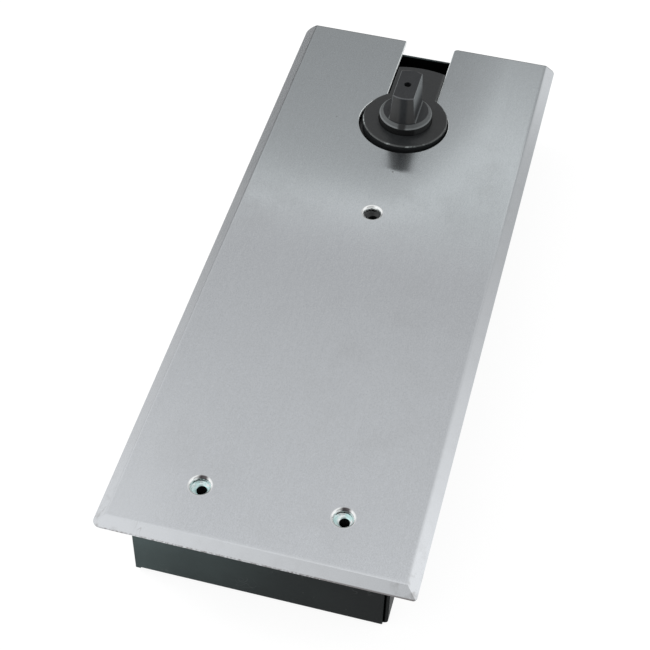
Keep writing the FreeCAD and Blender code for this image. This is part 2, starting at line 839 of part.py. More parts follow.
def crosshead():
    half = crosshead_half_width
    solid = block(-half, half, -crosshead_back, -crosshead_front, carriage_low, carriage_high)
    middle = carriage_half_width
    inner_low = carriage_low + carriage_sheet
    inner_high = carriage_high - carriage_sheet
    near = -carriage_near_end
    solid = solid.cut(block(-middle, middle, near, 0, carriage_low - 1, inner_low))
    solid = solid.cut(block(-middle, middle, near, 0, inner_high, carriage_high + 1))
    for x in (-spring_x, spring_x):
        solid = solid.fuse(rod(spigot_radius, x, carriage_mid, -crosshead_back - spigot_length, -crosshead_front - 1))
    solid = solid.cut(rod(rod_thread_radius + pressed_gap, 0, carriage_mid, -crosshead_back - 1, 0))
    for x in (-rivet_x, rivet_x):
        solid = solid.cut(post(rivet_radius + pressed_gap, x, rivet_y, carriage_low, carriage_high))
    return solid


def carriage_rivet(x):
    return post(rivet_radius, x, rivet_y, carriage_low, carriage_high)


def damper_piston():
    far = -piston_far_face
    near = far - piston_length
    radius = damper_bore_radius - running_gap
    groove_far = far - piston_length + piston_groove_from + piston_ring_width
    groove_near = groove_far - piston_ring_width
    depth = radius - piston_ring_depth
    outline = [(0, near), (radius, near), (radius, groove_near), (depth, groove_near), (depth, groove_far)]
    outline = outline + [(radius, groove_far), (radius, far), (rod_radius, far), (rod_radius, -crosshead_back)]
    outline = outline + [(rod_thread_radius, -crosshead_back), (rod_thread_radius, -crosshead_front - 0.5)]
    outline = outline + [(0, -crosshead_front - 0.5)]
    solid = turned_along(outline, 0, carriage_mid)
    solid = solid.cut(rod(check_chamber_radius, 0, carriage_mid, near - 1, near + check_chamber_length))
    bleed_y = near + check_chamber_length - bleed_radius
    solid = solid.cut(post(bleed_radius, 0, bleed_y, carriage_mid, carriage_mid + bleed_offset))
    return solid.cut(rod(bleed_radius, 0, carriage_mid + bleed_offset, bleed_y - bleed_radius, far + 1))


def piston_ring():
    near = -piston_far_face - piston_length + piston_groove_from
    inner = damper_bore_radius - running_gap - piston_ring_depth
    outer = damper_bore_radius - running_gap / 2
    solid = rod(outer, 0, carriage_mid, near, near + piston_ring_width)
    return solid.cut(rod(inner, 0, carriage_mid, near - 1, near + piston_ring_width + 1))


def check_seat():
    near = -piston_far_face - piston_length
    solid = rod(check_chamber_radius, 0, carriage_mid, near, near + check_seat_length)
    return solid.cut(rod(check_passage_radius, 0, carriage_mid, near - 1, near + check_seat_length + 1))


def check_ball():
    seat = -piston_far_face - piston_length + check_seat_length
    drop = math.sqrt(check_ball_radius ** 2 - check_passage_radius ** 2)
    return Part.makeSphere(check_ball_radius, Vector(0, seat + drop + pressed_gap, carriage_mid))


def power_spring(x):
    """Rectangular-wire compression spring with closed and ground ends."""
    near = -spring_seat_y
    far = -crosshead_back
    inner = spring_mean_radius - spring_wire_radial / 2
    outer = inner + spring_wire_radial
    length = far - near - spring_end_ring
    helix = Part.makeHelix(length / spring_turns, length, spring_mean_radius)
    half = spring_wire_axial / 2
    corners = [Vector(inner, 0, -half), Vector(outer, 0, -half), Vector(outer, 0, half), Vector(inner, 0, half)]
    section = Part.makePolygon(corners + corners[:1])
    coil = Part.Wire(helix).makePipeShell([section], True, True)
    coil.translate(Vector(0, 0, spring_end_ring / 2))
    total = far - near
    coil = coil.common(Part.makeCylinder(outer + 1, total))
    for z in (0, total - spring_end_ring):
        end = Part.makeCylinder(outer + spring_end_lip, spring_end_ring, Vector(0, 0, z))
        coil = coil.fuse(end.cut(Part.makeCylinder(inner - spring_end_lip, 2 * total, Vector(0, 0, -1))))
    coil.rotate(Vector(0, 0, 0), Vector(1, 0, 0), -90)
    coil.translate(Vector(x, near, carriage_mid))
    return coil


def spring_stop(x):
    near = -body_near_reach
    far = -spring_seat_y
    solid = rod(spring_bore_radius - pressed_gap, x, carriage_mid, near, far)
    return solid.cut(rod(stop_inner_radius, x, carriage_mid, near + stop_floor, far + 1))


def speed_valve(x):
    tip_end = passage_level - passage_radius
    groove_low = valve_ring_level - valve_ring_height / 2
    groove_high = groove_low + valve_ring_height
    groove = valve_radius - valve_ring_depth
    outline = [(0, tip_end + 0.1), (0.4, tip_end + 0.1), (valve_tip_radius, passage_level + passage_radius)]
    outline = outline + [(valve_tip_radius, valve_shoulder), (valve_radius, valve_shoulder)]
    outline = outline + [(valve_radius, groove_low), (groove, groove_low), (groove, groove_high)]
    outline = outline + [(valve_radius, groove_high), (valve_radius, valve_top), (0, valve_top)]
    solid = turned(outline, x, valve_y)
    half = valve_slot_width / 2
    reach = valve_radius + 1
    bottom = valve_top - valve_slot_depth
    return solid.cut(block(x - reach, x + reach, valve_y - half, valve_y + half, bottom, valve_top + 1))


def valve_ring(x):
    low = valve_ring_level - valve_ring_height / 2
    inner = valve_radius - valve_ring_depth
    return ring(valve_radius + running_gap / 2, inner, x, valve_y, low, low + valve_ring_height)


save(cover_plate(), "cover_plate")
save(cement_box(), "cement_box")
save(fixing_bridge(), "fixing_bridge")
save(plate_insert(-insert_x), "plate_insert_left")
save(plate_insert(insert_x), "plate_insert_right")
save(closer_body(), "closer_body")
save(base_plate(), "base_plate")
save(base_gasket(), "base_gasket")
for number, (x, y) in enumerate(base_screw_places, 1):
    save(base_screw(x, y), "base_screw_" + str(number))
for number, (x, z) in enumerate(end_screw_places, 1):
    save(end_screw(x, z), "end_screw_" + str(number))
for number, (x, y) in enumerate(stud_places, 1):
    save(box_stud(x, y), "box_stud_" + str(number))
    save(flange_nut(x, y), "flange_nut_" + str(number))
save(end_cover(), "end_cover")
save(end_gasket(), "end_gasket")
save(upper_bushing(), "upper_bushing")
save(spindle_seal(), "spindle_seal")
save(spindle(), "spindle")
save(lower_bearing_outer(), "lower_bearing_outer")
save(lower_bearing_inner(), "lower_bearing_inner")
save(lower_bearing_cage(), "lower_bearing_cage")
save(roller(-cam_rest_pitch), "near_roller")
save(roller(far_roller_y), "far_roller")
save(roller_pin(-cam_rest_pitch), "near_pin")
save(roller_pin(far_roller_y), "far_pin")
save(carriage_plate(carriage_low), "carriage_lower")
save(carriage_plate(carriage_high - carriage_sheet), "carriage_upper")
save(crosshead(), "crosshead")
save(carriage_rivet(-rivet_x), "carriage_rivet_1")
save(carriage_rivet(rivet_x), "carriage_rivet_2")
save(damper_piston(), "damper_piston")
save(piston_ring(), "piston_ring")
save(check_seat(), "check_seat")
save(check_ball(), "check_ball")
for side, name in ((-1, "left"), (1, "right")):
    save(power_spring(side * spring_x), "power_spring_" + name)
    save(spring_stop(side * spring_x), "spring_stop_" + name)
save(speed_valve(-web_x), "closing_valve")
save(speed_valve(web_x), "latching_valve")
save(valve_ring(-web_x), "closing_valve_ring")
save(valve_ring(web_x), "latching_valve_ring")
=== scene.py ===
import json
import math

import bmesh
import bpy
import numpy as np
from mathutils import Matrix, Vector


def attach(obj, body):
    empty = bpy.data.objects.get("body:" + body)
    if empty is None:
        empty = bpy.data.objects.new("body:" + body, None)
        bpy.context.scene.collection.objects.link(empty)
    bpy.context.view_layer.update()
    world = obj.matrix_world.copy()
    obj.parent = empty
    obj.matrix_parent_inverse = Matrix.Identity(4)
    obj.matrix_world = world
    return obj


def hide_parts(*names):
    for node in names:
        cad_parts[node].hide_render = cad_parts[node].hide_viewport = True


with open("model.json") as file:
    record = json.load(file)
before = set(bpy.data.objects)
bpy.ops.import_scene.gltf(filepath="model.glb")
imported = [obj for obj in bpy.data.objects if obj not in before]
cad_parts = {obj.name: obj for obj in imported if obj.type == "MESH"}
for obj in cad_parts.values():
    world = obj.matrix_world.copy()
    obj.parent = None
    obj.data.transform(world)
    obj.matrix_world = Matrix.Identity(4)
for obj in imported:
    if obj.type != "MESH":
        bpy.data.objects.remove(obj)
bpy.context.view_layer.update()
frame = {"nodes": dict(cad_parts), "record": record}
cadNodes = frame["nodes"]
slotOfNode = {part["node"]: part["material_slot"] for part in frame["record"]["subparts"]}
print("frame loaded,", len(cadNodes), "nodes")


# camera, at the photograph's viewing angle

cameraPlace = {
    "place": (0.098465, -0.555456, 0.526650),
    "turnDegrees": (41.7565, -1.0152, 14.7420),
    "lens": 87.21,
    "sensor": 36.0,
    "nearest": 0.01,
}


def makeCamera(values):
    data = bpy.data.cameras.new("viewCamera")
    data.lens = values["lens"]
    data.sensor_width = values["sensor"]
    data.clip_start = values["nearest"]
    camera = bpy.data.objects.new("viewCamera", data)
    camera.location = values["place"]
    camera.rotation_euler = [math.radians(angle) for angle in values["turnDegrees"]]
    bpy.context.scene.collection.objects.link(camera)
    bpy.context.scene.camera = camera


makeCamera(cameraPlace)
bpy.context.scene.view_settings.view_transform = "Standard"
print("camera placed")


# mesh helpers

meshCare = {
    "mergeWithin": 2e-6,
    "shortestEdge": 1e-7,
    "bevelSegments": 2,
}


def meshFromGrid(name, points, closeAcross=False, closeAlong=False):
    # a sheet of quads over a grid of points: each one joins a point to the next column, to the next row and
    # to both, and a closed direction goes on from the last point to the first
    rows, columns = points.shape[:2]
    lastRow = rows if closeAlong else rows - 1
    lastColumn = columns if closeAcross else columns - 1
    r, c = np.meshgrid(np.arange(lastRow), np.arange(lastColumn), indexing="ij")
    r2, c2 = (r + 1) % rows, (c + 1) % columns
    quads = np.stack([r * columns + c, r * columns + c2, r2 * columns + c2, r2 * columns + c], axis=-1)
    mesh = bpy.data.meshes.new(name)
    mesh.vertices.add(rows * columns)
    mesh.vertices.foreach_set("co", points.reshape(-1).astype(np.float32))
    mesh.loops.add(quads.size)
    mesh.loops.foreach_set("vertex_index", quads.reshape(-1).astype(np.int32))
    mesh.polygons.add(quads.size // 4)
    mesh.polygons.foreach_set("loop_start", np.arange(0, quads.size, 4, dtype=np.int32))
    mesh.update(calc_edges=True)
    mesh.validate()
    piece = bpy.data.objects.new(name, mesh)
    bpy.context.scene.collection.objects.link(piece)
    return piece


def tidyMesh(piece, sharpDegrees, recalculate=False):
    # merges loose corners, then shades smooth everywhere but over the sharp edges
    work = bmesh.new()
    work.from_mesh(piece.data)
    bmesh.ops.remove_doubles(work, verts=work.verts, dist=meshCare["mergeWithin"])
    bmesh.ops.dissolve_degenerate(work, edges=work.edges, dist=meshCare["shortestEdge"])
    if recalculate:
        bmesh.ops.recalc_face_normals(work, faces=work.faces)
    limit = math.radians(sharpDegrees)
    for edge in work.edges:
        edge.smooth = len(edge.link_faces) == 2 and edge.calc_face_angle(0.0) < limit
    for face in work.faces:
        face.smooth = True
    work.to_mesh(piece.data)
    work.free()


def refinedCopy(node, name, values):
    # a merged copy of a CAD node, with its sharp edges broken by a small bevel
    source = cadNodes[node]
    piece = source.copy()
    piece.data = source.data.copy()
    piece.name = name
    piece.data.name = name
    piece.parent = None
    for key in list(piece.keys()):  # the node's own tags stay with the node
        del piece[key]
    bpy.context.scene.collection.objects.link(piece)
    tidyMesh(piece, values["sharpDegrees"])
    bevel = piece.modifiers.new("brokenEdges", "BEVEL")
    bevel.width = values["edgeWidth"]
    bevel.segments = meshCare["bevelSegments"]
    bevel.limit_method = "ANGLE"
    bevel.angle_limit = math.radians(values["sharpDegrees"])
    bevel.use_clamp_overlap = True
    level = piece.modifiers.new("flatFacesStayFlat", "WEIGHTED_NORMAL")
    level.keep_sharp = True
    return piece


# shader helpers

class NodeTree:
    # short calls for building one tree of shader nodes
    def __init__(self, tree):
        self.tree = tree

    def put(self, socket, value):
        if isinstance(value, bpy.types.NodeSocket):
            self.tree.links.new(value, socket)
        else:
            socket.default_value = value

    def add(self, kind, inputs=None, **settings):
        node = self.tree.nodes.new(kind)
        for key, value in settings.items():
            setattr(node, key, value)
        for key, value in (inputs or {}).items():
            self.put(node.inputs[key], value)
        return node

    def axes(self, vector):
        return tuple(self.add("ShaderNodeSeparateXYZ", {0: vector}).outputs)

    def maths(self, operation, *values, clamp=False):
        node = self.add("ShaderNodeMath", dict(enumerate(values)), operation=operation, use_clamp=clamp)
        return node.outputs[0]

    def inTurn(self, operation, first, *others):
        for other in others:
            first = self.maths(operation, first, other)
        return first

    def times(self, *values):
        return self.inTurn("MULTIPLY", *values)

    def plus(self, *values):
        return self.inTurn("ADD", *values)

    def most(self, *values):
        return self.inTurn("MAXIMUM", *values)

    def minus(self, first, second):
        return self.maths("SUBTRACT", first, second)

    def apart(self, value, middle=0.0):
        # distance from a middle along one axis
        return self.maths("ABSOLUTE", self.minus(value, middle))

    def reach(self, across, along):
        # distance from a point, given those along two axes
        both = self.add("ShaderNodeCombineXYZ", {0: across, 1: along, 2: 0.0}).outputs[0]
        return self.add("ShaderNodeVectorMath", {0: both}, operation="LENGTH").outputs["Value"]

    def step(self, value, low, high):
        # 0 at low, 1 at high, eased between them; low may be the larger one
        node = self.add("ShaderNodeMapRange", {"Value": value, "From Min": low, "From Max": high},
                        interpolation_type="SMOOTHSTEP")
        return node.outputs["Result"]

    def edge(self, value, place, low, high):
        # a step whose two ends are counted from a place
        return self.step(value, place + low, place + high)

    def swing(self, mask, middle, spread):
        # a value that swings about its middle with a mask from 0 to 1
        return self.plus(self.times(mask, spread), middle - spread / 2)

    def noise(self, vector, scale, detail=2.0, rough=0.5):
        node = self.add("ShaderNodeTexNoise",
                        {"Vector": vector, "Scale": scale, "Detail": detail, "Roughness": rough})
        return node.outputs["Fac"]

    def mixColour(self, factor, first, second):
        first, second = [colour if isinstance(colour, bpy.types.NodeSocket) else (*colour, 1.0)
                         for colour in (first, second)]
        return self.add("ShaderNodeMix", {0: factor, 6: first, 7: second}, data_type="RGBA").outputs[2]

    def coats(self, colour, *pairs):
        # lays each pair of a mask and a colour over what is below it
        for mask, coat in pairs:
            colour = self.mixColour(mask, colour, coat)
        return colour

    def bump(self, height, strength=1.0):
        return self.add("ShaderNodeBump", {"Height": height, "Strength": strength, "Distance": 1.0}).outputs[0]

    def ramp(self, value, stops):
        node = self.add("ShaderNodeValToRGB", {"Fac": value})
        elements = node.color_ramp.elements
        while len(elements) < len(stops):
            elements.new(0.5)
        for element, (position, level) in zip(elements, stops):
            element.position = position
            element.color = grey(level)
        return node.outputs["Color"]


def grey(level):
    return (level, level, level, 1.0)


def newGroup(name, inputs, outputs):
    group = bpy.data.node_groups.new(name, "ShaderNodeTree")
    for label, kind, start in inputs:
        socket = group.interface.new_socket(name=label, in_out="INPUT", socket_type=kind)
        if start is not None:
            socket.default_value = start
    for label in outputs:
        group.interface.new_socket(name=label, in_out="OUTPUT", socket_type="NodeSocketFloat")
    given = group.nodes.new("NodeGroupInput").outputs
    out = group.nodes.new("NodeGroupOutput").inputs
    return group, NodeTree(group), given, out


def useGroup(t, group, **values):
    return t.add("ShaderNodeGroup", values, node_tree=group).outputs


def makeGrain():
    # fine lines along Y: noise squeezed across them and drawn out along them, at two sizes
    group, t, given, out = newGroup(
        "brushedGrain",
        [("vector", "NodeSocketVector", None), ("linesPerMetre", "NodeSocketFloat", 3000.0),
         ("draw", "NodeSocketFloat", 60.0)],
        ["fine", "streak"])
    lines = given["linesPerMetre"]
    stretch = t.add("ShaderNodeCombineXYZ", {0: lines, 1: t.maths("DIVIDE", lines, given["draw"]), 2: lines})
    squeezed = t.add("ShaderNodeVectorMath", {0: given["vector"], 1: stretch.outputs[0]}, operation="MULTIPLY")
    t.put(out["fine"], t.noise(squeezed.outputs[0], scale=1.0, detail=3.0, rough=0.7))
    t.put(out["streak"], t.noise(squeezed.outputs[0], scale=0.16, detail=3.0, rough=0.6))
    return group


def makeSmudges():
    # broad soft stains: two slow noises multiplied, so that clean places stay clean
    group, t, given, out = newGroup(
        "handlingSmudges",
        [("vector", "NodeSocketVector", None), ("size", "NodeSocketFloat", 0.04)],
        ["mask"])
    rate = t.maths("DIVIDE", 1.0, given["size"])
    broad = t.noise(given["vector"], scale=rate, detail=2.0, rough=0.5)
    finer = t.noise(given["vector"], scale=t.times(rate, 3.3), detail=4.0, rough=0.65)
    t.put(out["mask"], t.times(t.step(broad, 0.42, 0.68), t.step(finer, 0.38, 0.66)))
    return group


def makeEdgeWear():
    # an edge's mask broken up by noise, so that the edge is marked here and there: rubbed wear on most edges,
    # painted glints on the casting's rim
    group, t, given, out = newGroup(
        "edgeWear",
        [("vector", "NodeSocketVector", None), ("edge", "NodeSocketFloat", 0.0),
         ("gritPerMetre", "NodeSocketFloat", 700.0), ("amount", "NodeSocketFloat", 0.5)],
        ["mask"])
    coarse = t.noise(given["vector"], scale=given["gritPerMetre"], detail=3.0, rough=0.65)
    broken = t.step(t.plus(coarse, t.minus(given["amount"], 0.5)), 0.38, 0.62)
    t.put(out["mask"], t.maths("MULTIPLY", given["edge"], broken, clamp=True))
    return group


def makeSpecks():
    # small round specks: the middle of some cells of a Voronoi pattern
    group, t, given, out = newGroup(
        "dustSpecks",
        [("vector", "NodeSocketVector", None), ("cellsPerMetre", "NodeSocketFloat", 160.0),
         ("radius", "NodeSocketFloat", 0.06), ("share", "NodeSocketFloat", 0.3)],
        ["mask"])
    cells = t.add("ShaderNodeTexVoronoi", {"Vector": given["vector"], "Scale": given["cellsPerMetre"]}).outputs
    chance = t.add("ShaderNodeSeparateColor", {0: cells["Color"]}).outputs
    near = t.maths("LESS_THAN", cells["Distance"], t.times(given["radius"], chance[1]))
    picked = t.maths("LESS_THAN", chance[0], given["share"])
    t.put(out["mask"], t.times(near, picked))
    return group


def makeScratches():
    # thin lines where a stretched noise crosses its middle level, kept in patches
    group, t, given, out = newGroup(
        "fineScratches",
        [("vector", "NodeSocketVector", None), ("turn", "NodeSocketVector", None),
         ("linesPerMetre", "NodeSocketFloat", 260.0), ("width", "NodeSocketFloat", 0.012)],
        ["mask"])
    turned = t.add("ShaderNodeMapping",
                   {"Vector": given["vector"], "Rotation": given["turn"], "Scale": (1.0, 0.07, 1.0)})
    wave = t.noise(turned.outputs[0], scale=given["linesPerMetre"], detail=1.0, rough=0.4)
    line = t.maths("LESS_THAN", t.apart(wave, 0.5), given["width"])
    patch = t.step(t.noise(given["vector"], scale=45.0, detail=2.0, rough=0.6), 0.55, 0.68)
    t.put(out["mask"], t.times(line, patch))
    return group


def makeCastSkin():
    # sand-cast skin: rounded grains with a finer noise over them
    group, t, given, out = newGroup(
        "castSkin",
        [("vector", "NodeSocketVector", None), ("grainsPerMetre", "NodeSocketFloat", 900.0)],
        ["height", "mask"])
    grains = t.add("ShaderNodeTexVoronoi", {"Vector": given["vector"], "Scale": given["grainsPerMetre"]},
                   feature="SMOOTH_F1").outputs
    fine = t.noise(given["vector"], scale=t.times(given["grainsPerMetre"], 2.3), detail=4.0, rough=0.65)
    t.put(out["height"], t.plus(t.times(grains["Distance"], 0.6), t.times(fine, 0.5)))
    t.put(out["mask"], t.step(fine, 0.35, 0.7))
    return group


brushedGrain = makeGrain()
handlingSmudges = makeSmudges()
edgeWear = makeEdgeWear()
dustSpecks = makeSpecks()
fineScratches = makeScratches()
castSkin = makeCastSkin()
print("shared effects made")


def startMaterial(name):
    material = bpy.data.materials.new(name)
    material.use_nodes = True
    t = NodeTree(material.node_tree)
    return material, t, t.add("ShaderNodeTexCoord").outputs["Object"]


def finishMaterial(material, t, inputs):
    shader = material.node_tree.nodes["Principled BSDF"]
    for key, value in inputs.items():
        t.put(shader.inputs[key], value)
    return material


# cover plate steel: satin grain along the plate, rubbed bevels with a painted sheen, and a slight bow beside the
# slot; painted highlights on the cut faces and the hole mouths
# a pair of numbers is where a mask is 0 and where it is 1, on an axis or counted from the size before it

plateFinish = {
    # tones and grain, with another tint toward the far end
    "steel": (0.680, 0.705, 0.737),
    "streaked": (0.582, 0.603, 0.629),
    "farSteel": (0.671, 0.716, 0.740),
    "farStreaked": (0.574, 0.612, 0.633),
    "farAlong": (-0.10, -0.04),
    "roughness": 0.138,
    "streakRoughness": 0.01,
    "anisotropy": 0.98,
    "linesPerMetre": 2600.0,
    "lineDraw": 70.0,
    "lineDepth": 0.0000020,
    "flecksPerMetre": (5200.0, 1900.0, 5200.0),
    "streakShare": 0.05,
    "lineShare": 0.15,
    "fleckShare": 0.80,
    "grainRange": (0.32, 0.68),
    # stains
    "smudge": (0.47, 0.475, 0.475),
    "smudgeSize": 0.05,
    "smudgeAmount": 0.10,
    "smudgeRoughness": 0.03,
    "speck": (0.16, 0.16, 0.16),
    "specksPerMetre": 60.0,
    "speckRadius": 0.035,
    "speckShare": 0.22,
    "speckAmount": 0.5,
    # bevels and rims
    "middle": -0.00075,
    "shoulder": 0.05775,
    "shoulderBend": (-0.0012, 0.0012),
    "nearShoulder": -0.2468,
    "nearBend": (0.0016, -0.0010),
    # painted sheen: a paler tone on the bevels and on a patch of the flat toward the near left end
    "paintedSheen": (0.79, 0.815, 0.845),
    "paintedSheenOnBevel": 0.75,
    "paintedSheenOnPatch": 0.42,
    "sheenPatchAlong": (-0.150, -0.245),
    "sheenPatchAcross": (-0.020, -0.058),
    "rubbed": (0.30, 0.285, 0.27),
    "rubGrit": 160.0,
    "rubWear": 0.40,
    "rubAmount": 0.05,
    "cornerRubAmount": 0.50,
    "cornerAlong": (-0.225, -0.2495),
    "cornerAcross": (0.048, 0.061),
    "scratchTurn": (0.0, 0.0, 0.9),
    "scratchesPerMetre": 420.0,
    "scratchWidth": 0.020,
    "scratchAmount": 0.45,
    "scratchAlong": (-0.2440, -0.2475),
    "scratchAcross": (-0.030, -0.050),
    "nearEdge": -0.2515,
    "burr": (0.16, 0.13, 0.125),
    "burrAmount": 0.7,
    "burrFromEdge": (0.0006, 0.0003),
    "burrGrit": 900.0,
    "burrWear": 0.48,
    "burrWearMore": 0.30,
    "burrMoreAcross": (0.010, 0.045),
    "farEdge": 0.05921,
    "shaded": (0.16, 0.17, 0.18),
    "shadedFromEdge": (-0.0004, -0.0002),
    # cut-out
    # pale non-metal tone of the cut faces: bare cut steel with a painted highlight
    "bareCutHighlight": (0.80, 0.84, 0.84),
    "cutMiddle": (-0.0005, -0.0011),
    "cutRadius": 0.0210,
    "slotHalf": 0.0120,
    "cutFromWall": (0.00036, 0.00018),
    "slotAlong": (0.0135, 0.0140),
    "roundAlong": (-0.006, 0.000),
    # rolled mouths of the screw holes, each with a painted highlight, and a painted dark reflection on the far
    # wall of the near two
    "mouths": {"near": (0.028, -0.2249), "far": (0.0, -0.0633)},
    "mouthRadius": 0.0042,
    "mouthRoll": (0.0009, 0.0003),
    "mouthHighlight": (0.96, 0.98, 0.98),
    "paintedDarkReflection": (0.11, 0.100, 0.105),
    "darkReflectionAcross": (0.0027, 0.0009),
    "darkReflectionAlong": (0.0020, 0.0028),
    "darkReflectionRadius": (0.00355, 0.0038),
    # bow and waves of the sheet
    "bowStart": -0.085,
    "bowBend": 0.185,
    "bowFade": 0.8,
    "bowAcross": (-0.008, 0.040),
    "wavesPerMetre": 11.0,
    "waveDepth": 0.00005,
}


def plateGrain(t, spot, y, grain, values):
    # the grain picks between a streaked and a plain tone, both tinted toward the far end
    flecks = t.add("ShaderNodeVectorMath", {0: spot, 1: values["flecksPerMetre"]}, operation="MULTIPLY")
    fleck = t.noise(flecks.outputs[0], scale=1.0, detail=1.0, rough=0.6)
    mixed = t.plus(t.times(grain["streak"], values["streakShare"]), t.times(grain["fine"], values["lineShare"]),
                   t.times(fleck, values["fleckShare"]))
    toFar = t.step(y, *values["farAlong"])
    low = t.mixColour(toFar, values["streaked"], values["farStreaked"])
    high = t.mixColour(toFar, values["steel"], values["farSteel"])
    return t.mixColour(t.step(mixed, *values["grainRange"]), low, high)


def plateRub(t, spot, x, y, fromMiddle, bevel, values):
    # the bevels are rubbed most at the near corners, and the near left one is scratched too
    worn = useGroup(t, edgeWear, vector=spot, edge=bevel, gritPerMetre=values["rubGrit"],
                    amount=values["rubWear"])["mask"]
    corner = t.times(t.step(y, *values["cornerAlong"]), t.step(fromMiddle, *values["cornerAcross"]))
    marks = useGroup(t, fineScratches, vector=spot, turn=values["scratchTurn"],
                     linesPerMetre=values["scratchesPerMetre"], width=values["scratchWidth"])["mask"]
    nearLeft = t.times(t.step(y, *values["scratchAlong"]), t.step(x, *values["scratchAcross"]))
    return t.most(t.times(worn, t.plus(t.times(corner, values["cornerRubAmount"]), values["rubAmount"])),
                  t.times(marks, nearLeft, values["scratchAmount"]))


def plateBurr(t, spot, x, y, values):
    # the burr of the near edge is rougher toward its right end
    wear = t.plus(t.times(t.step(x, *values["burrMoreAcross"]), values["burrWearMore"]), values["burrWear"])
    atEdge = t.edge(y, values["nearEdge"], *values["burrFromEdge"])
    return useGroup(t, edgeWear, vector=spot, edge=atEdge, gritPerMetre=values["burrGrit"], amount=wear)["mask"]


def plateCuts(t, x, y, values):
    # the cut faces of the slot and of the far half of the round opening: bare cut steel, given a pale non-metal
    # tone that is partly a painted highlight
    across, along = values["cutMiddle"]
    slot = t.times(t.edge(t.apart(x, across), values["slotHalf"], *values["cutFromWall"]),
                   t.step(y, *values["slotAlong"]))
    fromRound = t.reach(t.minus(x, across), t.minus(y, along))
    around = t.times(t.edge(fromRound, values["cutRadius"], *values["cutFromWall"]),
                     t.step(y, *values["roundAlong"]))
    return t.most(slot, around)


def plateMouths(t, x, y, colour, values):
    # the rolled mouths of the screw holes get a painted highlight, and the near two a painted dark reflection on
    # their far walls
    fromCentre = t.apart(x, values["cutMiddle"][0])
    for name, (across, along) in values["mouths"].items():
        fromHole = t.reach(t.minus(fromCentre, across), t.minus(y, along))
        mouthLit = t.edge(fromHole, values["mouthRadius"], *values["mouthRoll"])
        colour = t.mixColour(mouthLit, colour, values["mouthHighlight"])
        if name == "near":
            darkReflection = t.times(t.step(t.apart(fromCentre, across), *values["darkReflectionAcross"]),
                            t.edge(y, along, *values["darkReflectionAlong"]), t.step(fromHole, *values["darkReflectionRadius"]))
            colour = t.mixColour(t.times(darkReflection, mouthLit), colour, values["paintedDarkReflection"])
    return colour


def plateHeight(t, spot, x, y, grain, values):
    # the sheet rises toward its far end on the right of the slot, by the square of the way past the bow's
    # start, which fades with that way; slow waves and the brushed lines lie over it
    rise = t.most(t.minus(y, values["bowStart"]), 0.0)
    fade = t.minus(1.0, t.times(rise, values["bowFade"]))
    bow = t.times(rise, rise, fade, values["bowBend"], t.step(x, *values["bowAcross"]))
    wave = t.noise(spot, scale=values["wavesPerMetre"], detail=1.0, rough=0.4)
    return t.plus(bow, t.times(wave, values["waveDepth"]), t.times(grain["fine"], values["lineDepth"]))


def makePlateSteel(values):
    material, t, spot = startMaterial("plateSteel")
    x, y = t.axes(spot)[:2]
    grain = useGroup(t, brushedGrain, vector=spot, linesPerMetre=values["linesPerMetre"], draw=values["lineDraw"])
    smudge = useGroup(t, handlingSmudges, vector=spot, size=values["smudgeSize"])["mask"]
    specks = useGroup(t, dustSpecks, vector=spot, cellsPerMetre=values["specksPerMetre"],
                      radius=values["speckRadius"], share=values["speckShare"])["mask"]
    fromMiddle = t.apart(x, values["middle"])
    bevel = t.most(t.edge(fromMiddle, values["shoulder"], *values["shoulderBend"]),
                   t.edge(y, values["nearShoulder"], *values["nearBend"]))
    # painted sheen over the bevels and over a patch of the flat toward the near left end
    sheenPatch = t.times(t.step(y, *values["sheenPatchAlong"]), t.step(x, *values["sheenPatchAcross"]))
    paintedSheen = t.most(t.times(bevel, values["paintedSheenOnBevel"]), t.times(sheenPatch, values["paintedSheenOnPatch"]))
    cut = plateCuts(t, x, y, values)
    colour = t.coats(
        plateGrain(t, spot, y, grain, values),
        (paintedSheen, values["paintedSheen"]),
        (t.times(smudge, values["smudgeAmount"]), values["smudge"]),
        (plateRub(t, spot, x, y, fromMiddle, bevel, values), values["rubbed"]),
        (t.times(plateBurr(t, spot, x, y, values), values["burrAmount"]), values["burr"]),
        (t.times(specks, values["speckAmount"]), values["speck"]),
        (cut, values["bareCutHighlight"]),
        (t.edge(y, values["farEdge"], *values["shadedFromEdge"]), values["shaded"]))
    colour = plateMouths(t, x, y, colour, values)
    rough = t.plus(t.swing(grain["streak"], values["roughness"], values["streakRoughness"]),
                   t.times(smudge, values["smudgeRoughness"]))
    normal = t.bump(plateHeight(t, spot, x, y, grain, values), strength=t.minus(1.0, bevel))
    tangent = t.add("ShaderNodeTangent", direction_type="UV_MAP", uv_map="brushing").outputs[0]
    return finishMaterial(material, t, {
        "Base Color": colour, "Metallic": t.minus(1.0, cut), "Roughness": rough,
        "Anisotropic": values["anisotropy"], "Normal": normal, "Tangent": tangent})


# paint of the cement box and its strap

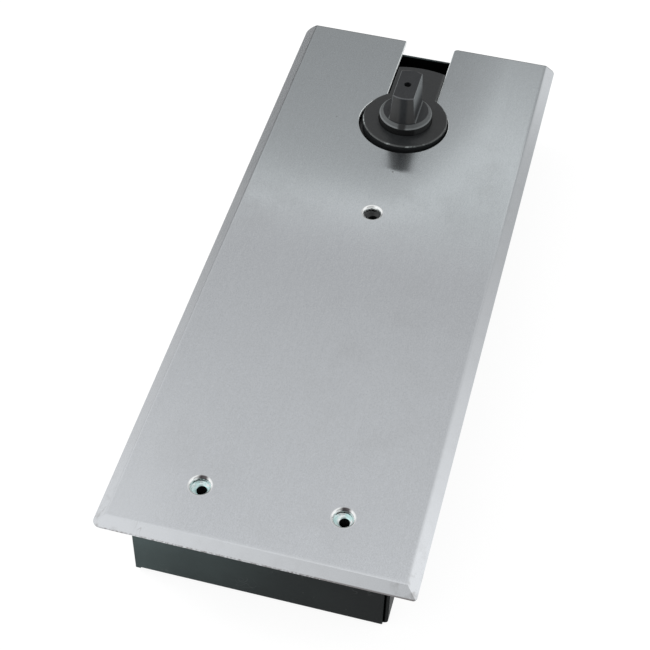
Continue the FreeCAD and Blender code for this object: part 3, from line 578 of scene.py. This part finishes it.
paintFinish = {
    "paint": (0.009, 0.0105, 0.0112),
    "thin": (0.016, 0.0185, 0.0190),
    "cloudsPerMetre": 30.0,
    "thinRange": (0.35, 0.7),
    "roughness": 0.46,
    "cloudRoughness": 0.16,
    "gloss": 0.055,
    "peelPerMetre": 900.0,
    "peelDepth": 0.00002,
    # painted light: a paler tone, stronger toward the left, toward the top and in clouds
    "paintedLight": (0.118, 0.160, 0.160),
    "lightEdge": 0.052,
    "lightReach": 0.100,
    "lightLeast": 0.45,
    "lightClouds": 0.6,
    "lightAtFoot": 0.75,
    "lightPerMetre": 9.0,
    # scratches and specks
    "bare": (0.14, 0.15, 0.15),
    "scratchTurn": (0.3, 0.9, 0.5),
    "scratchesPerMetre": 210.0,
    "scratchWidth": 0.010,
    "scratchAmount": 0.30,
    "crossTurn": (0.0, 0.2, 1.9),
    "crossesPerMetre": 160.0,
    "crossWidth": 0.007,
    "crossAmount": 0.24,
    "specksPerMetre": 240.0,
    "speckRadius": 0.09,
    "speckShare": 0.16,
    "speckAmount": 0.30,
    "markDepth": 0.00002,
    # unlit inside of the box
    "inside": (0.0016, 0.0022, 0.0021),
    "insideGloss": 0.005,
    "middle": -0.0005,
    "innerHalf": 0.0494,
    "innerNear": -0.2410,
    "innerFar": 0.0494,
    "innerEdge": 0.0002,
}


def makeBoxPaint(values):
    material, t, spot = startMaterial("boxPaint")
    x, y, z = t.axes(spot)
    cloud = t.noise(spot, scale=values["cloudsPerMetre"], detail=4.0, rough=0.6)
    # painted light: a paler tone toward the left and the top, broken by clouds
    toLeft = t.maths("DIVIDE", t.minus(values["lightEdge"], x), values["lightReach"], clamp=True)
    paintedLight = t.times(toLeft, toLeft, t.plus(t.times(cloud, values["lightClouds"]), values["lightLeast"]),
                   t.plus(t.times(z, values["lightPerMetre"]), values["lightAtFoot"]))
    scratch = useGroup(t, fineScratches, vector=spot, turn=values["scratchTurn"],
                       linesPerMetre=values["scratchesPerMetre"], width=values["scratchWidth"])["mask"]
    cross = useGroup(t, fineScratches, vector=spot, turn=values["crossTurn"],
                     linesPerMetre=values["crossesPerMetre"], width=values["crossWidth"])["mask"]
    specks = useGroup(t, dustSpecks, vector=spot, cellsPerMetre=values["specksPerMetre"],
                      radius=values["speckRadius"], share=values["speckShare"])["mask"]
    marks = t.most(t.times(scratch, values["scratchAmount"]), t.times(cross, values["crossAmount"]),
                   t.times(specks, values["speckAmount"]))
    soft = values["innerEdge"]
    inside = t.times(t.edge(t.apart(x, values["middle"]), values["innerHalf"], soft, -soft),
                     t.edge(y, values["innerFar"], soft, -soft), t.edge(y, values["innerNear"], -soft, soft))
    colour = t.coats(
        t.mixColour(t.step(cloud, *values["thinRange"]), values["paint"], values["thin"]),
        (paintedLight, values["paintedLight"]), (marks, values["bare"]), (inside, values["inside"]))
    peel = t.noise(spot, scale=values["peelPerMetre"], detail=2.0, rough=0.5)
    height = t.minus(t.times(peel, values["peelDepth"]), t.times(marks, values["markDepth"]))
    return finishMaterial(material, t, {
        "Base Color": colour, "Roughness": t.swing(cloud, values["roughness"], values["cloudRoughness"]),
        "Specular IOR Level": t.minus(values["gloss"], t.times(inside, values["gloss"] - values["insideGloss"])),
        "Normal": t.bump(height)})


# casting: painted body, with the rim of its machined plateau rubbed, and painted glints along that rim

castingFinish = {
    "paint": (0.010, 0.0110, 0.0115),
    "dusty": (0.024, 0.0265, 0.028),
    "smudge": (0.030, 0.032, 0.034),
    "smudgeSize": 0.012,
    "smudgeAmount": 0.25,
    "grainsPerMetre": 1500.0,
    "grainDepth": 0.00006,
    "roughness": 0.33,
    "gloss": 0.60,
    # rim of the plateau, left out where the tongue runs on toward the far end
    "plateauLevel": 0.0427,
    "plateauRadius": 0.0198,
    "tongueHalf": 0.0113,
    "rimUnderTop": (-0.0009, -0.0005),
    "rimInner": (-0.0006, -0.0003),
    "rimOuter": (0.0005, 0.0002),
    "nearHalf": (0.001, -0.001),
    "rimBesideTongue": (-0.0004, 0.0),
    "edge": (0.070, 0.076, 0.076),
    "edgeGrit": 420.0,
    "edgeWear": 0.60,
    "edgeAmount": 0.75,
    "edgeGloss": 0.18,
    "paintedGlint": (0.62, 0.68, 0.67),
    "glintGrit": 150.0,
    "glintWear": 0.35,
}


def makeCasting(values):
    material, t, spot = startMaterial("casting")
    x, y, z = t.axes(spot)
    skin = useGroup(t, castSkin, vector=spot, grainsPerMetre=values["grainsPerMetre"])
    smudge = useGroup(t, handlingSmudges, vector=spot, size=values["smudgeSize"])["mask"]
    radius = t.reach(x, y)
    offTongue = t.most(t.step(y, *values["nearHalf"]),
                       t.edge(t.apart(x), values["tongueHalf"], *values["rimBesideTongue"]))
    rim = t.times(t.edge(z, values["plateauLevel"], *values["rimUnderTop"]),
                  t.edge(radius, values["plateauRadius"], *values["rimInner"]),
                  t.edge(radius, values["plateauRadius"], *values["rimOuter"]), offTongue)
    worn = useGroup(t, edgeWear, vector=spot, edge=rim, gritPerMetre=values["edgeGrit"],
                    amount=values["edgeWear"])["mask"]
    # painted glints scattered along the plateau's rim
    paintedGlints = useGroup(t, edgeWear, vector=spot, edge=rim, gritPerMetre=values["glintGrit"],
                      amount=values["glintWear"])["mask"]
    colour = t.coats(
        t.mixColour(skin["mask"], values["paint"], values["dusty"]),
        (t.times(smudge, values["smudgeAmount"]), values["smudge"]),
        (t.times(worn, values["edgeAmount"]), values["edge"]),
        (paintedGlints, values["paintedGlint"]))
    return finishMaterial(material, t, {
        "Base Color": colour, "Roughness": t.minus(values["roughness"], t.times(worn, values["edgeGloss"])),
        "Specular IOR Level": values["gloss"], "Normal": t.bump(t.times(skin["height"], values["grainDepth"]))})


# spindle steel: dark phosphated, lighter along its machined edges and flats as painted highlights, with painted
# shade on its collar

spindleFinish = {
    "phosphate": (0.026, 0.0275, 0.030),
    "phosphateLight": 1.35,
    "phosphateRange": (0.3, 0.72),
    # paler machined tone, used for smudges, and as painted light on the collar's chamfer and on the shelf
    "milled": (0.110, 0.118, 0.120),
    # painted highlight tone for the upper flats, the chamfer's lip and the foot of the flats
    "flatSheen": (0.21, 0.225, 0.23),
    # painted highlight on the drive's round faces, away from their middle
    "worn": (0.090, 0.088, 0.086),
    # rubbed top rim tone, partly a painted highlight
    "edge": (0.17, 0.175, 0.185),
    "paintedShade": (0.010, 0.0105, 0.011),
    "linesPerMetre": 2400.0,
    "lineDraw": 9.0,
    "lineDepth": 0.00001,
    "smudgeSize": 0.010,
    "smudgeAmount": 0.12,
    "metal": 0.35,
    "roughness": 0.46,
    "streakRoughness": 0.14,
    "edgeGloss": 0.08,
    # drive, whose flats lean together toward its top
    "top": 0.0629,
    "driveRadius": 0.0104,
    "driveHalfLow": 0.0060,
    "driveHalfHigh": 0.0049,
    "aboveCollar": (0.0002, 0.0006),
    "ontoFlat": (-0.0002, -0.0001),
    "ontoRound": (-0.0005, -0.0002),
    # upper part of the flats, where their painted highlight lies
    "flatClimb": (0.25, 0.85),
    "roundSheenAmount": 0.68,
    # the top rim's rubbed edge, weighted toward its near half as a painted highlight
    "topRim": (-0.0007, -0.0002),
    "topNearHalf": (0.002, -0.002),
    "topFarShare": 0.2,
    "topGrit": 420.0,
    "topWear": 0.62,
    "topAmount": 0.7,
    "footHeight": (0.0006, 0.0003),
    "footWidth": (0.0006, 0.0004),
    "footInner": (0.0, -0.0004),
    "footSheenAmount": 0.85,
    # collar: chamfer whose machined tone is laid as painted light toward its sides, with a painted highlight on
    # its lip, painted shade in the middle of its near side, and painted light on a shelf right of the drive
    "collar": 0.0478,
    "collarRadius": 0.01225,
    "wallHeight": (-0.0017, -0.0020),
    "wallRadius": (-0.0003, -0.0001),
    "chamferFoot": (-0.0019, -0.0017),
    "chamferTop": (0.0005, 0.0002),
    "chamferInner": (0.0, 0.0003),
    "lipHeight": (-0.0012, -0.0014),
    "lipSheenAmount": 0.8,
    "shadeMiddle": 0.0006,
    "shadeAcross": (0.0008, 0.0024),
    "shadeAlong": (0.0, -0.004),
    "shadeAmount": 0.75,
    # painted light on the chamfer's machined tone: faint at the middle, strong toward the sides
    "chamferSheenAtMiddle": 0.10,
    "chamferSheenAtSides": 0.75,
    "litShelfAcross": (0.006, 0.007),
    "litShelfAmount": 0.22,
}


def driveMasks(t, x, y, z, radius, values):
    # the drive's round ends, leaning flats, top rim and the foot of its flats, where highlights are painted; the
    # top rim counts more on its near half
    top, collar, drive = values["top"], values["collar"], values["driveRadius"]
    climb = t.maths("DIVIDE", t.minus(z, collar), top - collar)
    half = t.minus(values["driveHalfLow"], t.times(climb, values["driveHalfLow"] - values["driveHalfHigh"]))
    toFlat = t.minus(t.apart(x), half)
    onFlat = t.step(toFlat, *values["ontoFlat"])
    above = t.edge(z, collar, *values["aboveCollar"])
    onRound = t.edge(radius, drive, *values["ontoRound"])
    nearHighlight = t.plus(t.times(t.step(y, *values["topNearHalf"]), 1.0 - values["topFarShare"]), values["topFarShare"])
    return {
        "above": above,
        "round": t.times(above, onRound),
        "flats": t.times(above, onFlat, t.step(climb, *values["flatClimb"])),
        "topRim": t.times(t.edge(z, top, *values["topRim"]), onRound, nearHighlight),
        "foot": t.times(t.edge(z, collar, *values["footHeight"]), onFlat, t.step(toFlat, *values["footWidth"]),
                        t.edge(radius, drive, *values["footInner"])),
    }


def collarMasks(t, z, radius, values):
    # the collar's wall, where shade is painted, the chamfer above it and the chamfer's lower lip, where a
    # highlight is painted
    collar = values["collar"]
    chamfer = t.times(t.edge(z, collar, *values["chamferFoot"]), t.edge(z, collar, *values["chamferTop"]),
                      t.edge(radius, values["driveRadius"], *values["chamferInner"]))
    return {
        "wall": t.times(t.edge(z, collar, *values["wallHeight"]),
                        t.edge(radius, values["collarRadius"], *values["wallRadius"])),
        "chamfer": chamfer,
        "lip": t.times(t.edge(z, collar, *values["lipHeight"]), chamfer),
    }


def makeDarkSteel(values):
    material, t, spot = startMaterial("darkSteel")
    x, y, z = t.axes(spot)
    grain = useGroup(t, brushedGrain, vector=spot, linesPerMetre=values["linesPerMetre"], draw=values["lineDraw"])
    smudge = useGroup(t, handlingSmudges, vector=spot, size=values["smudgeSize"])["mask"]
    radius = t.reach(x, y)
    drive = driveMasks(t, x, y, z, radius, values)
    collar = collarMasks(t, z, radius, values)
    worn = useGroup(t, edgeWear, vector=spot, edge=drive["topRim"], gritPerMetre=values["topGrit"],
                    amount=values["topWear"])["mask"]
    beside = t.step(t.apart(x, values["shadeMiddle"]), *values["shadeAcross"])
    chamferSheen = t.plus(t.times(beside, values["chamferSheenAtSides"]), values["chamferSheenAtMiddle"])
    nearMiddle = t.times(t.minus(1.0, beside), t.step(y, *values["shadeAlong"]))
    # painted light on the collar's top right of the drive
    litShelf = t.times(t.step(x, *values["litShelfAcross"]), t.minus(1.0, drive["above"]))
    lighter = [level * values["phosphateLight"] for level in values["phosphate"]]
    colour = t.coats(
        t.mixColour(t.step(grain["fine"], *values["phosphateRange"]), values["phosphate"], lighter),
        (t.times(smudge, values["smudgeAmount"]), values["milled"]),
        # painted shade on the collar's wall
        (collar["wall"], values["paintedShade"]),
        # painted highlight on the drive's round faces beside their middle strip
        (t.times(drive["round"], beside, values["roundSheenAmount"]), values["worn"]),
        (t.times(litShelf, values["litShelfAmount"]), values["milled"]),
        # the chamfer's machined tone as painted light, strongest toward its sides
        (t.times(collar["chamfer"], chamferSheen), values["milled"]),
        (t.times(collar["lip"], chamferSheen, values["lipSheenAmount"]), values["flatSheen"]),
        # painted shade in the middle of the chamfer's near side
        (t.times(collar["chamfer"], nearMiddle, values["shadeAmount"]), values["paintedShade"]),
        # painted highlights on the upper flats, and below on the foot of the flats
        (drive["flats"], values["flatSheen"]),
        # rubbed top rim with a painted highlight stronger on its near half
        (t.times(worn, values["topAmount"]), values["edge"]),
        (t.times(drive["foot"], values["footSheenAmount"]), values["flatSheen"]))
    rough = t.minus(t.swing(grain["streak"], values["roughness"], values["streakRoughness"]),
                    t.times(worn, values["edgeGloss"]))
    return finishMaterial(material, t, {
        "Base Color": colour, "Metallic": values["metal"], "Roughness": rough,
        "Normal": t.bump(t.times(grain["fine"], values["lineDepth"]))})


# bright zinc with patches of passivation tint, and painted shade inside the threaded bores

zincFinish = {
    "zinc": (0.95, 0.98, 0.98),
    "tint": (0.62, 0.86, 0.85),
    "tintsPerMetre": 260.0,
    "tintRange": (0.40, 0.56),
    "tintDepth": 0.00002,
    "dull": (0.52, 0.62, 0.62),
    "dullSize": 0.006,
    "dullAmount": 0.6,
    "dullRoughness": 0.2,
    "roughness": 0.24,
    "gloss": 0.05,
    "oiled": (0.004, 0.005, 0.005),
    "insertPlace": (0.028, -0.2249),
    "boreRadius": 0.0026,
    "boreWall": (0.0001, -0.0001),
    "boreTop": 0.0372,
    "boreUnderTop": (0.0, -0.0004),
}


def makeZincSteel(values):
    material, t, spot = startMaterial("zincSteel")
    x, y, z = t.axes(spot)
    patch = t.noise(spot, scale=values["tintsPerMetre"], detail=3.0, rough=0.6)
    dull = useGroup(t, handlingSmudges, vector=spot, size=values["dullSize"])["mask"]
    across, along = values["insertPlace"]
    fromAxis = t.reach(t.minus(t.apart(x), across), t.minus(y, along))
    # painted shade down the bore
    bore = t.times(t.edge(fromAxis, values["boreRadius"], *values["boreWall"]),
                   t.edge(z, values["boreTop"], *values["boreUnderTop"]))
    colour = t.coats(
        t.mixColour(t.step(patch, *values["tintRange"]), values["zinc"], values["tint"]),
        (t.times(dull, values["dullAmount"]), values["dull"]), (bore, values["oiled"]))
    return finishMaterial(material, t, {
        "Base Color": colour, "Metallic": t.minus(1.0, bore),
        "Roughness": t.plus(t.times(dull, values["dullRoughness"]), values["roughness"]),
        "Specular IOR Level": values["gloss"], "Normal": t.bump(t.times(patch, values["tintDepth"]))})


# plain finishes of the inner works

innerFinishes = {
    "machined_steel": {"first": (0.50, 0.51, 0.52), "second": (0.36, 0.37, 0.38), "metal": 1.0, "rough": 0.30,
                       "lines": 2400.0, "draw": 14.0, "depth": 0.000004},
    "spring_steel": {"first": (0.16, 0.165, 0.18), "second": (0.30, 0.30, 0.31), "metal": 1.0, "rough": 0.38,
                     "lines": 1500.0, "draw": 4.0, "depth": 0.00001},
    "bronze": {"first": (0.56, 0.38, 0.19), "second": (0.38, 0.25, 0.13), "metal": 1.0, "rough": 0.34,
               "lines": 2200.0, "draw": 8.0, "depth": 0.000005},
    "seal_rubber": {"first": (0.022, 0.022, 0.024), "second": (0.042, 0.042, 0.043), "metal": 0.0, "rough": 0.62,
                    "lines": 1800.0, "draw": 1.5, "depth": 0.00002},
}
innerShared = {"stainSize": 0.012, "stainShare": 0.5, "streakShare": 0.5, "streakRange": (0.3, 0.7),
               "lineRoughness": 0.12}


def makeInnerFinish(name, values, shared):
    material, t, spot = startMaterial(name)
    grain = useGroup(t, brushedGrain, vector=spot, linesPerMetre=values["lines"], draw=values["draw"])
    stain = useGroup(t, handlingSmudges, vector=spot, size=shared["stainSize"])["mask"]
    mixed = t.plus(t.times(t.step(grain["streak"], *shared["streakRange"]), shared["streakShare"]),
                   t.times(stain, shared["stainShare"]))
    return finishMaterial(material, t, {
        "Base Color": t.mixColour(mixed, values["first"], values["second"]), "Metallic": values["metal"],
        "Roughness": t.swing(grain["fine"], values["rough"], shared["lineRoughness"]),
        "Normal": t.bump(t.times(grain["fine"], values["depth"]))})


materials = {
    "plate_steel": makePlateSteel(plateFinish),
    "box_paint": makeBoxPaint(paintFinish),
    "casting": makeCasting(castingFinish),
    "dark_steel": makeDarkSteel(spindleFinish),
    "zinc_steel": makeZincSteel(zincFinish),
}
for slotName, slotValues in innerFinishes.items():
    materials[slotName] = makeInnerFinish(slotName, slotValues, innerShared)
for nodeName, nodeObject in cadNodes.items():
    nodeObject.data.materials.clear()
    nodeObject.data.materials.append(materials[slotOfNode[nodeName]])
print("materials made,", len(materials))


def place(piece, body, slot, *replaced):
    # gives a piece its material and its body, in the place of the CAD nodes named last
    piece.data.materials.clear()
    piece.data.materials.append(materials[slot])
    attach(piece, body)
    if replaced:
        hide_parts(*replaced)


# cover plate, with broken edges and a map that follows its brushing

plateShape = {"edgeWidth": 0.00018, "sharpDegrees": 28}
brushingMap = {"perMetre": 3.0, "lean": 0.02, "middle": 0.5}


def mapBrushing(mesh, values):
    # u follows x and v follows y, each with a little of z, so that upright walls have a width on the map too
    corners = np.zeros(len(mesh.vertices) * 3, np.float32)
    mesh.vertices.foreach_get("co", corners)
    loops = np.zeros(len(mesh.loops), np.int32)
    mesh.loops.foreach_get("vertex_index", loops)
    x, y, z = corners.reshape(-1, 3)[loops].T
    spread = np.stack([x + values["lean"] * z, y + values["lean"] * z], axis=1) * values["perMetre"]
    while mesh.uv_layers:
        mesh.uv_layers.remove(mesh.uv_layers[0])
    layer = mesh.uv_layers.new(name="brushing")
    layer.data.foreach_set("uv", (spread + values["middle"]).reshape(-1).astype(np.float32))


platePiece = refinedCopy("cover_plate", "coverPlate", plateShape)
mapBrushing(platePiece.data, brushingMap)
place(platePiece, "housing", "plate_steel", "cover_plate")
print("cover plate dressed")


# two threaded inserts under the plate

threadShape = {
    "pitch": 0.0008,
    "minor": 0.0021,
    "depth": 0.00042,
    "slope": 1.25,
    "crest": 0.12,
    "around": 96,
    "stepsPerTurn": 8,
    "leastRows": 8,
}

insertShape = {
    "places": {"left": (-0.028, -0.2249), "right": (0.028, -0.2249)},
    "flangeRadius": 0.0050,
    "barrelRadius": 0.0036,
    "flangeUnder": 0.0365,
    "top": 0.0377,
    "bottom": 0.0265,
    "mouth": 0.0004,
    "edge": 0.00015,
    "sharpDegrees": 40,
}


def turnedThread(centre, profile, boreTop, boreBottom, thread):
    # rings about an axis: first the profile's radii and levels, then the bore's, whose radius is the minor one
    # plus the thread's depth times a flattened triangle wave of level over pitch less turn, faded in at the top
    turn = np.linspace(0.0, 2.0 * np.pi, thread["around"], endpoint=False)
    steps = int((boreTop - boreBottom) / thread["pitch"] * thread["stepsPerTurn"])
    depth = np.linspace(boreTop, boreBottom, max(steps, thread["leastRows"]))
    phase = depth[:, None] / thread["pitch"] - turn[None, :] / (2.0 * np.pi)
    wave = np.abs(2.0 * (phase - np.floor(phase)) - 1.0)
    groove = np.clip(thread["slope"] * wave - thread["crest"], 0.0, 1.0)
    fade = np.clip((boreTop - depth) / thread["pitch"], 0.0, 1.0)[:, None]
    bore = thread["minor"] + thread["depth"] * groove * fade
    rings = np.array(profile)
    radii = np.concatenate([np.repeat(rings[:, :1], thread["around"], axis=1), bore])
    levels = np.concatenate([rings[:, 1], depth])
    points = np.zeros((len(levels), thread["around"], 3))
    points[..., 0] = centre[0] + radii * np.cos(turn)
    points[..., 1] = centre[1] + radii * np.sin(turn)
    points[..., 2] = levels[:, None]
    return points


def makeInsert(side, values, thread):
    # the profile runs from the bore's foot round the outside, each corner broken, to the mouth of the bore
    low, under, top = values["bottom"], values["flangeUnder"], values["top"]
    barrel, flange, minor = values["barrelRadius"], values["flangeRadius"], thread["minor"]
    edge, mouth = values["edge"], minor + values["mouth"]
    profile = [(minor, low), (barrel - edge, low), (barrel, low + edge), (barrel, under), (flange - edge, under),
               (flange, under + edge), (flange, top - edge), (flange - edge, top), (mouth + edge, top),
               (mouth, top - edge / 2)]
    points = turnedThread(values["places"][side], profile, top - values["mouth"], low, thread)
    piece = meshFromGrid("insert_" + side, points, closeAcross=True, closeAlong=True)
    tidyMesh(piece, values["sharpDegrees"], recalculate=True)
    place(piece, "housing", "zinc_steel", "plate_insert_" + side)


for sideName in insertShape["places"]:
    makeInsert(sideName, insertShape, threadShape)
print("threaded inserts made")


# spindle, with its machined edges broken

spindleShape = {"edgeWidth": 0.00025, "sharpDegrees": 26}
place(refinedCopy("spindle", "spindleDressed", spindleShape), "spindle", "dark_steel", "spindle")
print("spindle dressed")


# casting, box and strap, with their edges broken

castingShape = {"edgeWidth": 0.00022, "sharpDegrees": 26}
place(refinedCopy("closer_body", "closerBody", castingShape), "housing", "casting", "closer_body")

boxShape = {"edgeWidth": 0.00016, "sharpDegrees": 28}
for nodeName, pieceName in (("cement_box", "cementBox"), ("fixing_bridge", "fixingBridge")):
    place(refinedCopy(nodeName, pieceName, boxShape), "housing", "box_paint", nodeName)
print("casting and box dressed")


# floor, world and lamps

studio = {
    "floorSize": 6.0,
    "floorLevel": -0.0006,
    "floorSharpDegrees": 30,
    "floorGlow": 0.90,
    "floorBounce": 0.16,
    "floorPlain": 0.62,
    # the world's level by heading: by rise over run ahead of the object, by both together at its sides, and
    # by side behind the camera
    "leastAhead": 0.05,
    "riseScale": 0.5,
    "riseLevels": ((0.0, 0.45), (0.37, 0.385), (0.408, 0.410), (0.422, 0.426), (0.4375, 0.450), (0.454, 0.478),
                   (0.4714, 0.490), (0.4830, 0.515), (0.4870, 0.98), (0.4975, 0.98), (0.5025, 0.67),
                   (0.511, 0.608), (0.5335, 0.608), (0.558, 0.645), (0.6145, 0.700), (0.6835, 0.740),
                   (0.7245, 0.755), (0.77, 0.79), (0.85, 0.85)),
    "sideScale": 0.25,
    "sideMiddle": 0.5,
    "sideLevels": ((0.0, 0.92), (0.101, 0.76), (0.1345, 0.64), (0.180, 0.53), (0.2147, 0.39), (0.243, 0.28),
                   (0.2665, 0.23), (0.2858, 0.20), (0.50, 0.20), (0.66, 0.78), (0.7045, 0.78), (0.7227, 0.53),
                   (0.7443, 0.53), (0.7716, 0.61), (0.8045, 0.755), (0.848, 0.90), (0.8795, 0.99)),
    "sideLean": (0.50, 0.80),
    "behindMiddle": 0.5,
    "behindLevels": ((0.10, 1.0), (0.25, 0.92), (0.34, 0.70), (0.43, 0.56), (0.55, 0.50)),
    "behindFrom": (-0.02, -0.25),
    "lamps": {
        "keyLamp": {"place": (-1.05, 0.05, 0.85), "size": 0.6, "power": 7.0},
        "fillLamp": {"place": (1.05, -0.25, 0.55), "size": 0.8, "power": 2.0},
    },
    "lampAim": (0.0, -0.09, 0.03),
}


def makeFloor(values):
    # a level square: the camera and reflections see a glowing sheet, and all other light a plain pale one
    half = values["floorSize"] / 2
    side = np.linspace(-half, half, 3)
    x, y = np.meshgrid(side, side, indexing="ij")
    floor = meshFromGrid("studioFloor", np.stack([x, y, np.full_like(x, values["floorLevel"])], axis=-1))
    tidyMesh(floor, values["floorSharpDegrees"])
    material = bpy.data.materials.new("studioFloor")
    material.use_nodes = True
    t = NodeTree(material.node_tree)
    t.tree.nodes.clear()
    rays = t.add("ShaderNodeLightPath").outputs
    seen = t.most(rays["Is Camera Ray"], rays["Is Glossy Ray"], rays["Is Transmission Ray"])
    paper = t.add("ShaderNodeBsdfDiffuse", {"Color": grey(values["floorBounce"])})
    glow = t.add("ShaderNodeEmission", {"Color": grey(1.0), "Strength": values["floorGlow"]})
    both = t.add("ShaderNodeAddShader", {0: paper.outputs[0], 1: glow.outputs[0]})
    plain = t.add("ShaderNodeBsdfDiffuse", {"Color": grey(values["floorPlain"])})
    mixed = t.add("ShaderNodeMixShader", {0: seen, 1: plain.outputs[0], 2: both.outputs[0]})
    t.add("ShaderNodeOutputMaterial", {"Surface": mixed.outputs[0]})
    floor.data.materials.append(material)


def makeWorld(values):
    world = bpy.data.worlds.new("studioWorld")
    bpy.context.scene.world = world
    world.use_nodes = True
    t = NodeTree(world.node_tree)
    t.tree.nodes.clear()
    east, north, up = t.axes(t.add("ShaderNodeTexCoord").outputs["Generated"])
    ahead = t.most(north, values["leastAhead"])
    rise = t.maths("DIVIDE", up, ahead)
    run = t.maths("DIVIDE", east, ahead)
    reach = t.reach(rise, run)
    level = t.ramp(t.times(rise, values["riseScale"]), values["riseLevels"])
    signed = t.times(reach, t.maths("SIGN", run))
    side = t.ramp(t.plus(t.times(signed, values["sideScale"]), values["sideMiddle"]), values["sideLevels"])
    lean = t.maths("DIVIDE", t.apart(run), reach)
    level = t.mixColour(t.step(lean, *values["sideLean"]), level, side)
    behind = t.ramp(t.plus(east, values["behindMiddle"]), values["behindLevels"])
    level = t.mixColour(t.step(north, *values["behindFrom"]), level, behind)
    rays = t.add("ShaderNodeLightPath").outputs
    studioGlow = t.add("ShaderNodeBackground", {"Color": level, "Strength": 1.0})
    white = t.add("ShaderNodeBackground", {"Color": grey(1.0), "Strength": 1.0})
    mixed = t.add("ShaderNodeMixShader", {0: rays["Is Camera Ray"], 1: studioGlow.outputs[0], 2: white.outputs[0]})
    t.add("ShaderNodeOutputWorld", {"Surface": mixed.outputs[0]})


def makeLamps(values):
    for name, lampValues in values["lamps"].items():
        data = bpy.data.lights.new(name, "AREA")
        data.shape = "DISK"
        data.size = lampValues["size"]
        data.energy = lampValues["power"]
        lamp = bpy.data.objects.new(name, data)
        lamp.location = lampValues["place"]
        lamp.visible_glossy = False
        aim = Vector(values["lampAim"]) - Vector(lampValues["place"])
        lamp.rotation_euler = aim.to_track_quat("-Z", "Y").to_euler()
        bpy.context.scene.collection.objects.link(lamp)


makeFloor(studio)
makeWorld(studio)
makeLamps(studio)
print("studio set")
